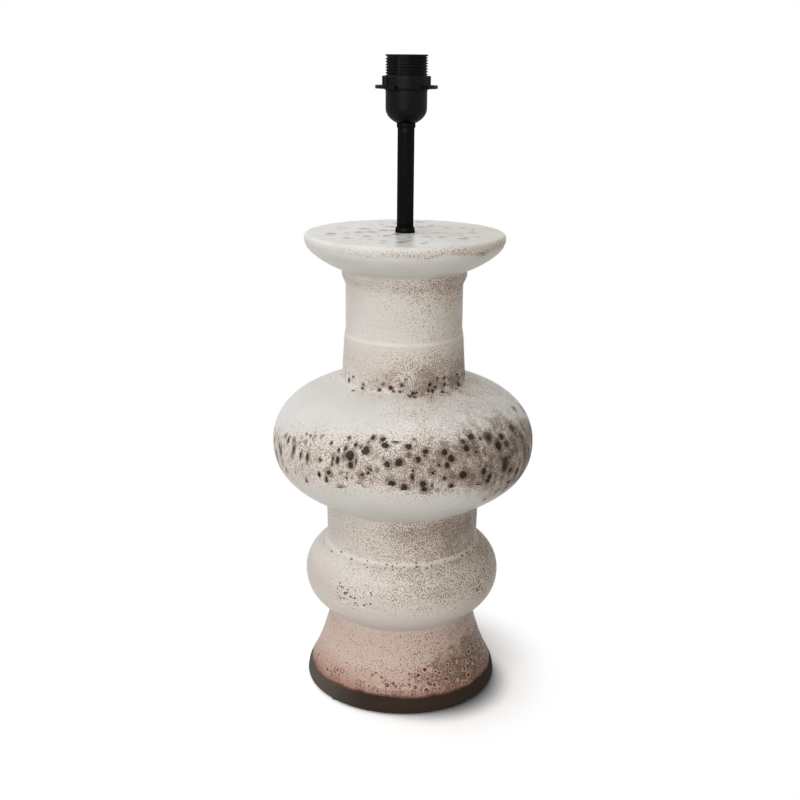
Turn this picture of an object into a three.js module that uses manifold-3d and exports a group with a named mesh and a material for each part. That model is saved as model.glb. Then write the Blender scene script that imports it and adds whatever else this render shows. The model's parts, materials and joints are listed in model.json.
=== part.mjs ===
// Table lamp base: a turned stoneware column with a tray top, a metal stem and an E27 lampholder.
// Millimetres, +Z up. The origin is on the table, under the middle of the foot.

import * as THREE from 'three';
import { mergeVertices } from 'three/addons/utils/BufferGeometryUtils.js';
import Module from 'manifold-3d';

const wasm = await Module();
wasm.setup();

// General fits
const clearance = 0.3;
const overrun = 1;
const quarterTurn = Math.PI / 2;
const fullTurn = Math.PI * 2;

// Roundness of the turned pieces, in facets
const columnFacets = 44;
const holderFacets = 32;
const smallFacets = 16;
const curveSteps = 5;
const shortCurveSteps = 3;
const hollowSteps = 4;

// Felt pads under the foot
const padThickness = 1.2;
const padRadius = 5;
const padCount = 4;

// Foot of the column: an unglazed band, then a bell that narrows upwards
const footRadius = 98.6;
const footEdgeRound = 1.5;
const footRingWidth = 13;
const bandUprightHeight = 5;
const bandHeight = 14.3;
const bandLean = 2.3;
const bandTopRadius = footRadius - bandLean;
const bellHeight = 64.3;
const creaseRadius = 72.9;
const bellRadiusShare = 0.5;
const bellHeightShare = 0.27;

// Lower ring of the column, a hair wider than the foot
const torusOverFoot = 0.83;
const torusRadius = footRadius + torusOverFoot;
const torusLowerHeight = 40.3;
const torusUpperHeight = 33.3;
const torusStartRadiusShare = 0.437;
const torusStartHeightShare = 0.216;
const torusLowerShare = 0.446;
const torusUpperShare = 0.674;
const torusEndShare = 0.12;

// Short neck between the lower ring and the belly
const waistLowerRadius = 76.87;
const waistUpperRadius = 77.66;
const waistHeight = 45;

// Belly
const bellyRadius = 131.06;
const bellyLowerHeight = 61.85;
const bellyUpperHeight = 62.35;
const bellyStartRadiusShare = 0.476;
const bellyStartHeightShare = 0.226;
const bellyLowerShare = 0.427;
const bellyUpperShare = 0.726;
const bellyEndRadiusShare = 0.252;
const bellyEndHeightShare = 0.0465;

// Neck, with a soft step and a bead under the tray
const neckLowerRadius = 61.69;
const neckStepRadius = 58.85;
const neckUpperRadius = 57.48;
const neckLowerHeight = 45.3;
const neckStepHeight = 6.6;
const neckUpperHeight = 44.3;
const beadRadius = 61.2;
const beadChamferHeight = 7.65;
const beadHeight = 6.85;

// Tray: a round plate with a flared underside and a soft rim
const trayRadius = 97.59;
const trayLipRadius = 96.1;
const trayFlareHeight = 25.2;
const trayLipHeight = 2;
const trayRimHeight = 4;
const trayEdgeHeight = 3.3;
const trayEdgeWidth = 3.8;
const flareStartRadiusShare = 0.536;
const flareStartHeightShare = 0.254;
const flareEndRadiusShare = 1.049;
const flareEndHeightShare = 0.829;

// Wall of the column, and the holes through it
const wall = 6;
const rodHoleRadius = 6;
const cableHoleRadius = 5.2;
const cableHoleHeight = 8.6;
const cableSeatRadius = 6.6;
const cableSeatDepth = 1.6;

// Cable bushing
const bushingFlangeThickness = 1.3;
const bushingBoreRadius = 3.5;

// Threaded rod through the stem, and what clamps it under the tray
const rodRadius = 5;
const rodBoreRadius = 3.4;
const rodTail = 9;
const softWasherRadius = 19;
const softWasherThickness = 3;
const plateWasherRadius = 16;
const plateWasherThickness = 2;
const lockWasherRadius = 9;
const lockWasherThickness = 1;
const nutAcrossFlats = 14;
const nutHeight = 5;
const nutSides = 6;

// Stem tube and its end ferrules
const stemRadius = 8;
const stemBoreRadius = 6.6;
const stemLength = 93.5;
const lowerFerruleRadius = 9;
const lowerFerruleFootRadius = 9.5;
const lowerFerruleHeight = 5;
const upperFerruleRadius = 8.85;
const upperFerruleHeight = 4.2;
const spigotLength = 4;

// Dome cap of the lampholder
const domeRadius = 19.55;
const domeHeight = 30;
const domeRoundHeight = 13.7;
const domeWall = 2.05;
const domeStartRadiusShare = 0.341;
const domeStartHeightShare = 0.117;
const domeEndHeightShare = 0.438;
const bossWall = 1.9;
const bossHeight = 14;
const bossFloor = 3;

// Threaded insert and the grub screw that locks it on the rod
const insertRadius = 7;
const insertHeight = 9;
const rodInDome = 11.5;
const grubRadius = 1.75;
const grubLength = 4.6;
const grubHeight = 8;
const grubSlotWidth = 0.6;
const grubSlotDepth = 0.8;

// Insulating core, with a slot across its underside for the leads and the two terminals
const coreRadius = 15.2;
const coreFloorHeight = 16;
const coreWallHeight = 14;
const bayWidth = 8;
const bayHeight = 8;

// Screw shell of the socket
const socketCrestRadius = 12.25;
const socketRootRadius = 13.35;
const socketSheet = 0.4;
const socketPitch = 3.62;
const socketHeight = 24;
const socketFlangeRadius = 8.8;
const socketRowsPerTurn = 4;
const socketFacets = 20;

// Centre contact: a fixed strip and the springy tongue that goes on from it
const contactWidth = 5;
const contactThickness = 0.5;
const contactFootLength = 3.8;
const contactHinge = 3.4;
const tongueLength = 5.6;
const tongueRise = 3.4;
const tongueTipLength = 1.6;
const tongueTipDrop = 0.5;

// Rivets and terminals
const liveRivetPlace = 5.6;
const liveRivetHeadRadius = 1.5;
const neutralRivetPlace = 10.6;
const neutralRivetHeadRadius = 1.25;
const rivetHeadHeight = 0.8;
const rivetRadius = 0.9;
const rivetBelowCeiling = 1.5;
const terminalInner = 4.2;
const terminalLength = 8.4;
const terminalWidth = 6.6;
const terminalHeight = 6.2;
const terminalWireRadius = 1.3;
const terminalWirePlace = 4.6;
const terminalScrewRadius = 1.25;
const terminalScrewLength = 2;
const terminalScrewHeadRadius = 2.2;
const terminalScrewHeadHeight = 1.1;
const terminalScrewSlotWidth = 0.7;
const terminalScrewSlotDepth = 0.5;

// Threaded outer shell of the lampholder
const shellBoreRadius = 15.6;
const shellSpigotRadius = 17.2;
const shellSpigotLength = 6;
const shoulderRadius = 20.5;
const shoulderHeight = 1.3;
const threadRootRadius = 18.45;
const threadCrestRadius = 19.8;
const threadPitch = 2.5;
const threadRowsPerTurn = 4;
const threadHalfFacets = 10;
const threadLength = 28;
const shellLength = 30.7;
const rimBandHeight = 1.6;
const mouthChamfer = 0.9;
const keySlotAngle = THREE.MathUtils.degToRad(-117);
const keySlotSpan = THREE.MathUtils.degToRad(9);
const keySlotEdge = THREE.MathUtils.degToRad(1.5);

// Shade ring
const ringRadius = 23;
const ringPocketRadius = 22;
const ringHeight = 11.6;
const ringEdge = 0.8;
const ringTurn = THREE.MathUtils.degToRad(10);
const wingRadius = 29.3;
const wingThickness = 3.2;
const wingHalfAngle = THREE.MathUtils.degToRad(57);
const pocketTopBand = 1.5;
const pocketBottomBand = 0.8;
const pocketAngles = [[-54, -28], [-20, -4], [4, 20], [28, 54]];

// Heights worked out from the sizes above
const creaseZ = padThickness + bandHeight + bellHeight;
const torusMiddleZ = creaseZ + torusLowerHeight;
const torusTopZ = torusMiddleZ + torusUpperHeight;
const bellyStartZ = torusTopZ + waistHeight;
const bellyMiddleZ = bellyStartZ + bellyLowerHeight;
const neckZ = bellyMiddleZ + bellyUpperHeight;
const neckStepZ = neckZ + neckLowerHeight;
const neckUpperZ = neckStepZ + neckStepHeight;
const beadChamferZ = neckUpperZ + neckUpperHeight;
const beadZ = beadChamferZ + beadChamferHeight;
const flareZ = beadZ + beadHeight;
const lipZ = flareZ + trayFlareHeight;
const rimZ = lipZ + trayLipHeight;
const trayEdgeZ = rimZ + trayRimHeight;
const trayTopZ = trayEdgeZ + trayEdgeHeight;
const trayCeilingZ = trayTopZ - wall;
const stemZ = trayTopZ + lowerFerruleHeight;
const stemTopZ = stemZ + stemLength;
const holderZ = stemTopZ + upperFerruleHeight;

// Finishes
function finish(color, roughness, metalness) {
  return new THREE.MeshStandardMaterial({ color, roughness, metalness });
}
const glaze = finish(0xd9d2c6, 0.38, 0);
const felt = finish(0x2b2a28, 0.95, 0);
const softRubber = finish(0x1b1b1b, 0.8, 0);
const blackPaint = finish(0x141414, 0.42, 0.1);
const zincSteel = finish(0xb4b6b8, 0.35, 1);
const blackPlastic = finish(0x161718, 0.45, 0);
const porcelain = finish(0xe8e4da, 0.5, 0);
const brass = finish(0xc9a24e, 0.3, 1);
const springBronze = finish(0xc08a5a, 0.35, 1);

const lamp = new THREE.Group();

function addPiece(name, geometry, material, height = 0) {
  const piece = new THREE.Mesh(geometry, material);
  piece.name = name;
  piece.position.z = height;
  lamp.add(piece);
  return piece;
}

function point(radius, height) {
  return new THREE.Vector2(radius, height);
}

// A closed ring profile turned about the Z axis. The outer side of the profile runs upwards.
function turned(points, facets) {
  return new THREE.LatheGeometry([...points, points[0]], facets).rotateX(quarterTurn);
}

// A plain bush from radius inner to radius outer, standing on z = 0
function bush(inner, outer, height, facets) {
  const outline = [point(inner, 0), point(outer, 0), point(outer, height), point(inner, height)];
  return turned(outline, facets);
}

// A solid round bar standing on z = 0
function bar(radius, height, facets) {
  return new THREE.CylinderGeometry(radius, radius, height, facets)
    .rotateX(quarterTurn)
    .translate(0, 0, height / 2);
}

// A block between two corners
function block(low, high) {
  const size = new THREE.Vector3().subVectors(high, low);
  const middle = new THREE.Vector3().addVectors(low, high).multiplyScalar(1 / 2);
  return new THREE.BoxGeometry(size.x, size.y, size.z).translate(middle.x, middle.y, middle.z);
}

function solidOf(geometry) {
  const bare = geometry.clone();
  bare.deleteAttribute('normal');
  bare.deleteAttribute('uv');
  const joined = mergeVertices(bare);
  const vertProperties = new Float32Array(joined.attributes.position.array);
  const triVerts = new Uint32Array(joined.index.array);
  return new wasm.Manifold(new wasm.Mesh({ numProp: 3, vertProperties, triVerts }));
}

function geometryOf(solid) {
  const mesh = solid.getMesh();
  const geometry = new THREE.BufferGeometry();
  geometry.setAttribute('position', new THREE.BufferAttribute(mesh.vertProperties, mesh.numProp));
  geometry.setIndex(new THREE.BufferAttribute(mesh.triVerts, 1));
  geometry.computeVertexNormals();
  return geometry;
}

function cutFrom(geometry, cutters) {
  return geometryOf(cutters.reduce((rest, cutter) => rest.subtract(solidOf(cutter)), solidOf(geometry)));
}

// Outline curves of the column, from the band to the tray, in the order in which they are thrown
function columnCurves() {
  const bandTop = point(bandTopRadius, padThickness + bandHeight);
  const crease = point(creaseRadius, creaseZ);
  const torusMiddle = point(torusRadius, torusMiddleZ);
  const waistLower = point(waistLowerRadius, torusTopZ);
  const waistUpper = point(waistUpperRadius, bellyStartZ);
  const bellyMiddle = point(bellyRadius, bellyMiddleZ);
  const neckStart = point(neckLowerRadius, neckZ);
  const bellReach = bandTopRadius - creaseRadius;
  const torusLowerReach = torusRadius - creaseRadius;
  const torusUpperReach = torusRadius - waistLowerRadius;
  const bellyLowerReach = bellyRadius - waistUpperRadius;
  const bellyUpperReach = bellyRadius - neckLowerRadius;
  const bellTurn = point(
    creaseRadius + bellReach * bellRadiusShare,
    bandTop.y + bellHeight * bellHeightShare,
  );
  const torusStart = point(
    creaseRadius + torusLowerReach * torusStartRadiusShare,
    creaseZ + torusLowerHeight * torusStartHeightShare,
  );
  const torusRise = point(torusRadius, creaseZ + torusLowerHeight * torusLowerShare);
  const torusFall = point(torusRadius, torusMiddleZ + torusUpperHeight * torusUpperShare);
  const torusEnd = point(waistLowerRadius + torusUpperReach * torusEndShare, torusTopZ);
  const bellyStart = point(
    waistUpperRadius + bellyLowerReach * bellyStartRadiusShare,
    bellyStartZ + bellyLowerHeight * bellyStartHeightShare,
  );
  const bellyRise = point(bellyRadius, bellyStartZ + bellyLowerHeight * bellyLowerShare);
  const bellyFall = point(bellyRadius, bellyMiddleZ + bellyUpperHeight * bellyUpperShare);
  const bellyEnd = point(
    neckLowerRadius + bellyUpperReach * bellyEndRadiusShare,
    neckZ - bellyUpperHeight * bellyEndHeightShare,
  );
  return {
    bell: new THREE.QuadraticBezierCurve(bandTop, bellTurn, crease),
    torusLower: new THREE.CubicBezierCurve(crease, torusStart, torusRise, torusMiddle),
    torusUpper: new THREE.CubicBezierCurve(torusMiddle, torusFall, torusEnd, waistLower),
    waist: new THREE.LineCurve(waistLower, waistUpper),
    bellyLower: new THREE.CubicBezierCurve(waistUpper, bellyStart, bellyRise, bellyMiddle),
    bellyUpper: new THREE.CubicBezierCurve(bellyMiddle, bellyFall, bellyEnd, neckStart),
  };
}

function flareCurve() {
  const reach = trayLipRadius - beadRadius;
  const start = point(
    beadRadius + reach * flareStartRadiusShare,
    flareZ + trayFlareHeight * flareStartHeightShare,
  );
  const end = point(
    beadRadius + reach * flareEndRadiusShare,
    flareZ + trayFlareHeight * flareEndHeightShare,
  );
  return new THREE.CubicBezierCurve(point(beadRadius, flareZ), start, end, point(trayLipRadius, lipZ));
}

// Points of a curve moved by the wall's thickness to its left, which is the clay side
function insetPoints(curve, thickness, steps) {
  return Array.from({ length: steps + 1 }, (_, index) => {
    const place = index / steps;
    const tangent = curve.getTangent(place);
    return curve.getPoint(place).add(point(-tangent.y, tangent.x).multiplyScalar(thickness));
  });
}

function footOutline() {
  const bandStart = point(footRadius, padThickness + bandUprightHeight);
  const bandTurn = point(footRadius, padThickness + (bandUprightHeight + bandHeight) / 2);
  const bandTop = point(bandTopRadius, padThickness + bandHeight);
  return [
    point(footRadius - footRingWidth, padThickness),
    point(footRadius - footEdgeRound, padThickness),
    point(footRadius, padThickness + footEdgeRound),
    ...new THREE.QuadraticBezierCurve(bandStart, bandTurn, bandTop).getPoints(shortCurveSteps),
  ];
}

function trayOutline() {
  const edgeStart = point(trayRadius, trayEdgeZ);
  const edgeTurn = point(trayRadius, trayTopZ);
  const edgeEnd = point(trayRadius - trayEdgeWidth, trayTopZ);
  return [
    ...flareCurve().getPoints(curveSteps),
    point(trayRadius, rimZ),
    ...new THREE.QuadraticBezierCurve(edgeStart, edgeTurn, edgeEnd).getPoints(shortCurveSteps),
    point(rodHoleRadius, trayTopZ),
  ];
}

// The hollow follows the outside one wall further in, from the ceiling under the tray down to the foot
function hollowOutline(curves) {
  const rising = [
    ...insetPoints(curves.bell, wall, shortCurveSteps),
    ...insetPoints(curves.torusLower, wall, hollowSteps),
    ...insetPoints(curves.torusUpper, wall, hollowSteps).slice(1),
    point(waistLowerRadius - wall, torusTopZ),
    ...insetPoints(curves.bellyLower, wall, hollowSteps),
    ...insetPoints(curves.bellyUpper, wall, hollowSteps).slice(1),
    point(neckLowerRadius - wall, neckZ),
    point(neckUpperRadius - wall, neckUpperZ),
    point(neckUpperRadius - wall, beadZ),
    ...insetPoints(flareCurve(), wall, shortCurveSteps),
    point(trayLipRadius - wall, trayCeilingZ),
    point(rodHoleRadius, trayCeilingZ),
  ];
  return rising.reverse();
}

function columnOutline() {
  const curves = columnCurves();
  return [
    ...footOutline(),
    ...curves.bell.getPoints(curveSteps).slice(1),
    ...curves.torusLower.getPoints(curveSteps).slice(1),
    ...curves.torusUpper.getPoints(curveSteps).slice(1),
    point(waistUpperRadius, bellyStartZ),
    ...curves.bellyLower.getPoints(curveSteps).slice(1),
    ...curves.bellyUpper.getPoints(curveSteps).slice(1),
    point(neckStepRadius, neckStepZ),
    point(neckUpperRadius, neckUpperZ),
    point(neckUpperRadius, beadChamferZ),
    point(beadRadius, beadZ),
    ...trayOutline(),
    ...hollowOutline(curves),
  ];
}

// The cable passes through the back of the unglazed band, where a flat seat takes the bushing
const cableSeatPlace = footRadius - cableSeatDepth;

function backBar(radius, from, length) {
  return bar(radius, length, smallFacets)
    .rotateX(-quarterTurn)
    .translate(0, from, padThickness + cableHoleHeight);
}

function stonewareColumn() {
  const column = turned(columnOutline(), columnFacets);
  const throughLength = footRingWidth + overrun * 2;
  const cableHole = backBar(cableHoleRadius, footRadius - footRingWidth - overrun, throughLength);
  const seatLength = cableSeatDepth + overrun;
  const seat = backBar(cableSeatRadius + clearance, cableSeatPlace, seatLength);
  return cutFrom(column, [cableHole, seat]);
}

// The column is thrown in sections that are luted together at its creases, before it is glazed
const sectionTops = [
  ['column_foot', creaseZ],
  ['column_ring', torusTopZ],
  ['column_waist', bellyStartZ],
  ['column_belly', neckZ],
  ['column_neck', flareZ],
  ['column_tray', trayTopZ + overrun],
];

function addSections() {
  sectionTops.reduce((rest, [name, topZ]) => {
    const [above, section] = rest.splitByPlane([0, 0, 1], topZ);
    addPiece(name, geometryOf(section), glaze);
    return above;
  }, solidOf(stonewareColumn()));
}

function cableBushing() {
  const sleeveRadius = cableHoleRadius - clearance;
  const sleeveLength = footRingWidth - cableSeatDepth;
  const outline = [
    point(bushingBoreRadius, -sleeveLength),
    point(sleeveRadius, -sleeveLength),
    point(sleeveRadius, 0),
    point(cableSeatRadius, 0),
    point(cableSeatRadius, bushingFlangeThickness),
    point(bushingBoreRadius, bushingFlangeThickness),
  ];
  return turned(outline, smallFacets)
    .rotateX(-quarterTurn)
    .translate(0, cableSeatPlace, padThickness + cableHoleHeight);
}

function buildColumn() {
  addSections();
  addPiece('cable_bushing', cableBushing(), softRubber);
  for (let index = 0; index < padCount; index += 1) {
    const pad = addPiece(`felt_pad_${index + 1}`, bar(padRadius, padThickness, smallFacets), felt);
    const angle = (index + 1 / 2) * fullTurn / padCount;
    const place = footRadius - footRingWidth / 2;
    pad.position.x = place * Math.cos(angle);
    pad.position.y = place * Math.sin(angle);
  }
}

// Under the tray the rod is clamped by a soft washer, a plate washer, a lock washer and a nut
const softWasherZ = trayCeilingZ - softWasherThickness;
const plateWasherZ = softWasherZ - plateWasherThickness;
const lockWasherZ = plateWasherZ - lockWasherThickness;
const nutZ = lockWasherZ - nutHeight;
const rodZ = nutZ - rodTail;
const rodHeight = holderZ + rodInDome - rodZ;
const rodFit = rodRadius + clearance;

function hexNut() {
  const cornerRadius = nutAcrossFlats / 2 / Math.cos(Math.PI / nutSides);
  const nut = new THREE.CylinderGeometry(cornerRadius, cornerRadius, nutHeight, nutSides)
    .rotateX(quarterTurn)
    .translate(0, 0, nutHeight / 2);
  const hole = bar(rodFit, nutHeight + overrun * 2, smallFacets).translate(0, 0, -overrun);
  return cutFrom(nut, [hole]);
}

function lowerFerrule() {
  const spigotRadius = stemBoreRadius - clearance;
  const outline = [
    point(rodFit, 0),
    point(lowerFerruleFootRadius, 0),
    point(lowerFerruleRadius, lowerFerruleHeight),
    point(spigotRadius, lowerFerruleHeight),
    point(spigotRadius, lowerFerruleHeight + spigotLength),
    point(rodFit, lowerFerruleHeight + spigotLength),
  ];
  return turned(outline, holderFacets);
}

function upperFerrule() {
  const spigotRadius = stemBoreRadius - clearance;
  const outline = [
    point(rodFit, -spigotLength),
    point(spigotRadius, -spigotLength),
    point(spigotRadius, 0),
    point(upperFerruleRadius, 0),
    point(upperFerruleRadius, upperFerruleHeight),
    point(rodFit, upperFerruleHeight),
  ];
  return turned(outline, holderFacets);
}

function buildStem() {
  const softWasher = bush(rodFit, softWasherRadius, softWasherThickness, holderFacets);
  const plateWasher = bush(rodFit, plateWasherRadius, plateWasherThickness, holderFacets);
  const lockWasher = bush(rodFit, lockWasherRadius, lockWasherThickness, smallFacets);
  addPiece('soft_washer', softWasher, softRubber, softWasherZ);
  addPiece('plate_washer', plateWasher, zincSteel, plateWasherZ);
  addPiece('lock_washer', lockWasher, zincSteel, lockWasherZ);
  addPiece('hex_nut', hexNut(), zincSteel, nutZ);
  addPiece('threaded_rod', bush(rodBoreRadius, rodRadius, rodHeight, smallFacets), zincSteel, rodZ);
  addPiece('lower_ferrule', lowerFerrule(), blackPaint, trayTopZ);
  addPiece('stem_tube', bush(stemBoreRadius, stemRadius, stemLength, holderFacets), blackPaint, stemZ);
  addPiece('upper_ferrule', upperFerrule(), blackPaint, stemTopZ);
}

// The lampholder's own pieces are placed in a group that stands on the upper ferrule
const bossBoreRadius = insertRadius + clearance;
const bossRadius = bossBoreRadius + bossWall;
const coreZ = bossHeight;
const coreFloorZ = coreZ + coreFloorHeight;
const bayCeilingZ = coreZ + bayHeight;

// A bar along X, from one place to another, at a height
function sideBar(radius, from, length, height) {
  return bar(radius, length, smallFacets).rotateY(quarterTurn).translate(from, 0, height);
}

function domeCap() {
  const reach = domeRadius - upperFerruleRadius;
  const foot = point(upperFerruleRadius, 0);
  const shoulder = point(domeRadius, domeRoundHeight);
  const round = new THREE.CubicBezierCurve(
    foot,
    point(upperFerruleRadius + reach * domeStartRadiusShare, domeRoundHeight * domeStartHeightShare),
    point(domeRadius, domeRoundHeight * domeEndHeightShare),
    shoulder,
  );
  const inside = insetPoints(round, domeWall, curveSteps).filter((spot) => spot.x > bossRadius);
  const outline = [
    point(rodFit, 0),
    ...round.getPoints(curveSteps),
    point(domeRadius, domeHeight),
    point(domeRadius - domeWall, domeHeight),
    ...inside.reverse(),
    point(bossRadius, bossFloor),
    point(bossRadius, bossHeight),
    point(bossBoreRadius, bossHeight),
    point(bossBoreRadius, bossFloor),
    point(rodFit, bossFloor),
  ];
  const grubHole = sideBar(grubRadius + clearance, rodFit, bossWall + insertRadius, grubHeight);
  return cutFrom(turned(outline, holderFacets), [grubHole]);
}

function threadedInsert() {
  const insert = bush(rodFit, insertRadius, insertHeight, smallFacets).translate(0, 0, bossFloor);
  const grubHole = sideBar(grubRadius + clearance, 0, insertRadius + overrun, grubHeight);
  return cutFrom(insert, [grubHole]);
}

function grubScrew() {
  const screw = sideBar(grubRadius, rodRadius + clearance, grubLength, grubHeight);
  const end = rodRadius + clearance + grubLength;
  const slot = block(
    new THREE.Vector3(end - grubSlotDepth, -grubRadius - overrun, grubHeight - grubSlotWidth / 2),
    new THREE.Vector3(end + overrun, grubRadius + overrun, grubHeight + grubSlotWidth / 2),
  );
  return cutFrom(screw, [slot]);
}

function insulatingCore() {
  const pocketRadius = socketRootRadius + socketSheet + clearance;
  const cup = bar(coreRadius, coreFloorHeight + coreWallHeight, holderFacets).translate(0, 0, coreZ);
  const pocket = bar(pocketRadius, coreWallHeight + overrun, holderFacets).translate(0, 0, coreFloorZ);
  const bay = block(
    new THREE.Vector3(-coreRadius - overrun, -bayWidth / 2, coreZ - overrun),
    new THREE.Vector3(coreRadius + overrun, bayWidth / 2, bayCeilingZ),
  );
  const rivetHoles = [-liveRivetPlace, neutralRivetPlace].map((place) => (
    bar(rivetRadius + clearance, coreFloorHeight, smallFacets).translate(place, 0, bayCeilingZ - overrun)
  ));
  return cutFrom(cup, [pocket, bay, ...rivetHoles]);
}

// The socket's round thread, rolled into sheet: both faces follow r(angle, height)
function socketRadius(angle, height) {
  const middle = (socketCrestRadius + socketRootRadius) / 2;
  const depth = (socketRootRadius - socketCrestRadius) / 2;
  return middle + depth * Math.cos(fullTurn * height / socketPitch - angle);
}

function screwShell() {
  const rowCount = Math.round(socketHeight / socketPitch * socketRowsPerTurn);
  const heights = Array.from({ length: rowCount + 1 }, (_, row) => socketHeight * row / rowCount);
  const columns = Array.from({ length: socketFacets }, (_, step) => {
    const angle = fullTurn * step / socketFacets;
    const outside = heights.map((height) => point(socketRadius(angle, height) + socketSheet, height));
    const inside = heights.slice(1).map((height) => point(socketRadius(angle, height), height));
    const seat = point(socketRadius(angle, socketSheet), socketSheet);
    const flange = [point(socketFlangeRadius, socketSheet), point(socketFlangeRadius, 0)];
    return columnAt(angle, [...outside, ...inside.reverse(), seat, ...flange]);
  });
  const rivetHole = bar(rivetRadius + clearance, socketSheet + overrun * 2, smallFacets)
    .translate(neutralRivetPlace, 0, -overrun);
  return cutFrom(closedGrid(columns), [rivetHole]);
}

// Joins columns of points, all with the same number of rows, into a skin that closes both ways
function closedGrid(columns) {
  const rows = columns[0].length;
  const indices = [];
  columns.forEach((_, column) => {
    const next = (column + 1) % columns.length;
    for (let row = 0; row < rows; row += 1) {
      const above = (row + 1) % rows;
      const corner = column * rows + row;
      const side = next * rows + row;
      const far = next * rows + above;
      const up = column * rows + above;
      indices.push(corner, side, far, corner, far, up);
    }
  });
  const geometry = new THREE.BufferGeometry();
  geometry.setAttribute('position', new THREE.Float32BufferAttribute(columns.flat(2), 3));
  geometry.setIndex(indices);
  geometry.computeVertexNormals();
  return geometry;
}

// The points of one column: a profile of radii and heights, stood up at an angle about the axis
function columnAt(angle, profile) {
  return profile.map((spot) => [spot.x * Math.cos(angle), spot.x * Math.sin(angle), spot.y]);
}

// A flat strip drawn in the XZ plane and given its width along Y
function strip(outline, width) {
  const shape = new THREE.Shape(outline);
  return new THREE.ExtrudeGeometry(shape, { depth: width, bevelEnabled: false })
    .rotateX(quarterTurn)
    .translate(0, width / 2, 0);
}

function contactFoot() {
  const start = -contactHinge - clearance - contactFootLength;
  const foot = block(
    new THREE.Vector3(start, -contactWidth / 2, coreFloorZ),
    new THREE.Vector3(-contactHinge - clearance, contactWidth / 2, coreFloorZ + contactThickness),
  );
  const hole = bar(rivetRadius + clearance, contactThickness + overrun * 2, smallFacets)
    .translate(-liveRivetPlace, 0, coreFloorZ - overrun);
  return cutFrom(foot, [hole]);
}

function centreContact() {
  const tip = tongueLength - tongueTipLength;
  const base = clearance;
  const rise = tongueRise;
  const outline = [
    point(0, base),
    point(tip, base + rise - contactThickness),
    point(tongueLength, base + rise - contactThickness - tongueTipDrop),
    point(tongueLength, base + rise - tongueTipDrop),
    point(tip, base + rise),
    point(0, base + contactThickness),
  ];
  return strip(outline, contactWidth).translate(-contactHinge, 0, coreFloorZ);
}

function rivet(headRadius, seatZ) {
  const head = bar(headRadius, rivetHeadHeight, smallFacets).translate(0, 0, seatZ);
  const shankBottom = bayCeilingZ - rivetBelowCeiling;
  const shank = bar(rivetRadius, seatZ - shankBottom + rivetHeadHeight / 2, smallFacets)
    .translate(0, 0, shankBottom);
  return geometryOf(solidOf(head).add(solidOf(shank)));
}

// Brass terminal in a bay, seen from the bay's mouth along its own +X
const terminalOuter = terminalInner + terminalLength;
const terminalMiddleZ = bayCeilingZ - terminalHeight / 2;

function terminalBlock(rivetPlace) {
  const body = block(
    new THREE.Vector3(terminalInner, -terminalWidth / 2, bayCeilingZ - terminalHeight),
    new THREE.Vector3(terminalOuter, terminalWidth / 2, bayCeilingZ),
  );
  const rivetHole = bar(rivetRadius + clearance, rivetBelowCeiling + clearance + overrun, smallFacets)
    .translate(rivetPlace, 0, bayCeilingZ - rivetBelowCeiling - clearance);
  const wireHole = bar(terminalWireRadius, terminalHeight / 2, smallFacets)
    .translate(terminalInner + terminalWirePlace, 0, bayCeilingZ - terminalHeight - overrun);
  const screwHole = sideBar(
    terminalScrewRadius + clearance,
    terminalOuter - terminalScrewLength - clearance,
    terminalScrewLength + clearance + overrun,
    terminalMiddleZ,
  );
  return cutFrom(body, [rivetHole, wireHole, screwHole]);
}

function terminalScrew() {
  const head = sideBar(
    terminalScrewHeadRadius,
    terminalOuter,
    terminalScrewHeadHeight,
    terminalMiddleZ,
  );
  const shank = sideBar(
    terminalScrewRadius,
    terminalOuter - terminalScrewLength,
    terminalScrewLength + terminalScrewHeadHeight / 2,
    terminalMiddleZ,
  );
  const face = terminalOuter + terminalScrewHeadHeight;
  const slotReach = terminalScrewHeadRadius + overrun;
  const slotLowZ = terminalMiddleZ - terminalScrewSlotWidth / 2;
  const slot = block(
    new THREE.Vector3(face - terminalScrewSlotDepth, -slotReach, slotLowZ),
    new THREE.Vector3(face + overrun, slotReach, slotLowZ + terminalScrewSlotWidth),
  );
  return geometryOf(solidOf(head).add(solidOf(shank)).subtract(solidOf(slot)));
}

// The outer thread is right-handed, and a plain strip on each side of the shell breaks it
function threadRadius(angle, height) {
  const middle = (threadRootRadius + threadCrestRadius) / 2;
  const depth = (threadCrestRadius - threadRootRadius) / 2;
  return middle + depth * Math.cos(fullTurn * height / threadPitch - angle);
}

function shellColumn(angle, threaded) {
  const topZ = shellLength + shoulderHeight;
  const rowCount = Math.round(threadLength / threadPitch * threadRowsPerTurn);
  const thread = Array.from({ length: rowCount + 1 }, (_, row) => {
    const height = threadLength * row / rowCount;
    const radius = threaded ? threadRadius(angle, height) : threadRootRadius;
    return point(radius, shoulderHeight + clearance + height);
  });
  return columnAt(angle, [
    point(shellBoreRadius, -shellSpigotLength),
    point(shellSpigotRadius, -shellSpigotLength),
    point(shellSpigotRadius, 0),
    point(shoulderRadius, 0),
    point(shoulderRadius, shoulderHeight),
    point(threadRootRadius, shoulderHeight),
    ...thread,
    point(threadRootRadius, topZ - rimBandHeight),
    point(threadCrestRadius, topZ - rimBandHeight),
    point(threadCrestRadius, topZ),
    point(shellBoreRadius + mouthChamfer, topZ),
    point(shellBoreRadius, topZ - mouthChamfer),
  ]);
}

function outerShell() {
  const stretch = Math.PI - keySlotSpan - keySlotEdge * 2;
  const columns = [keySlotAngle, keySlotAngle + Math.PI].flatMap((start) => {
    const strip = [start, start + keySlotSpan].map((angle) => shellColumn(angle, false));
    const threadStart = start + keySlotSpan + keySlotEdge;
    const threaded = Array.from({ length: threadHalfFacets + 1 }, (_, step) => (
      shellColumn(threadStart + stretch * step / threadHalfFacets, true)
    ));
    return [...strip, ...threaded];
  });
  return closedGrid(columns);
}

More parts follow.
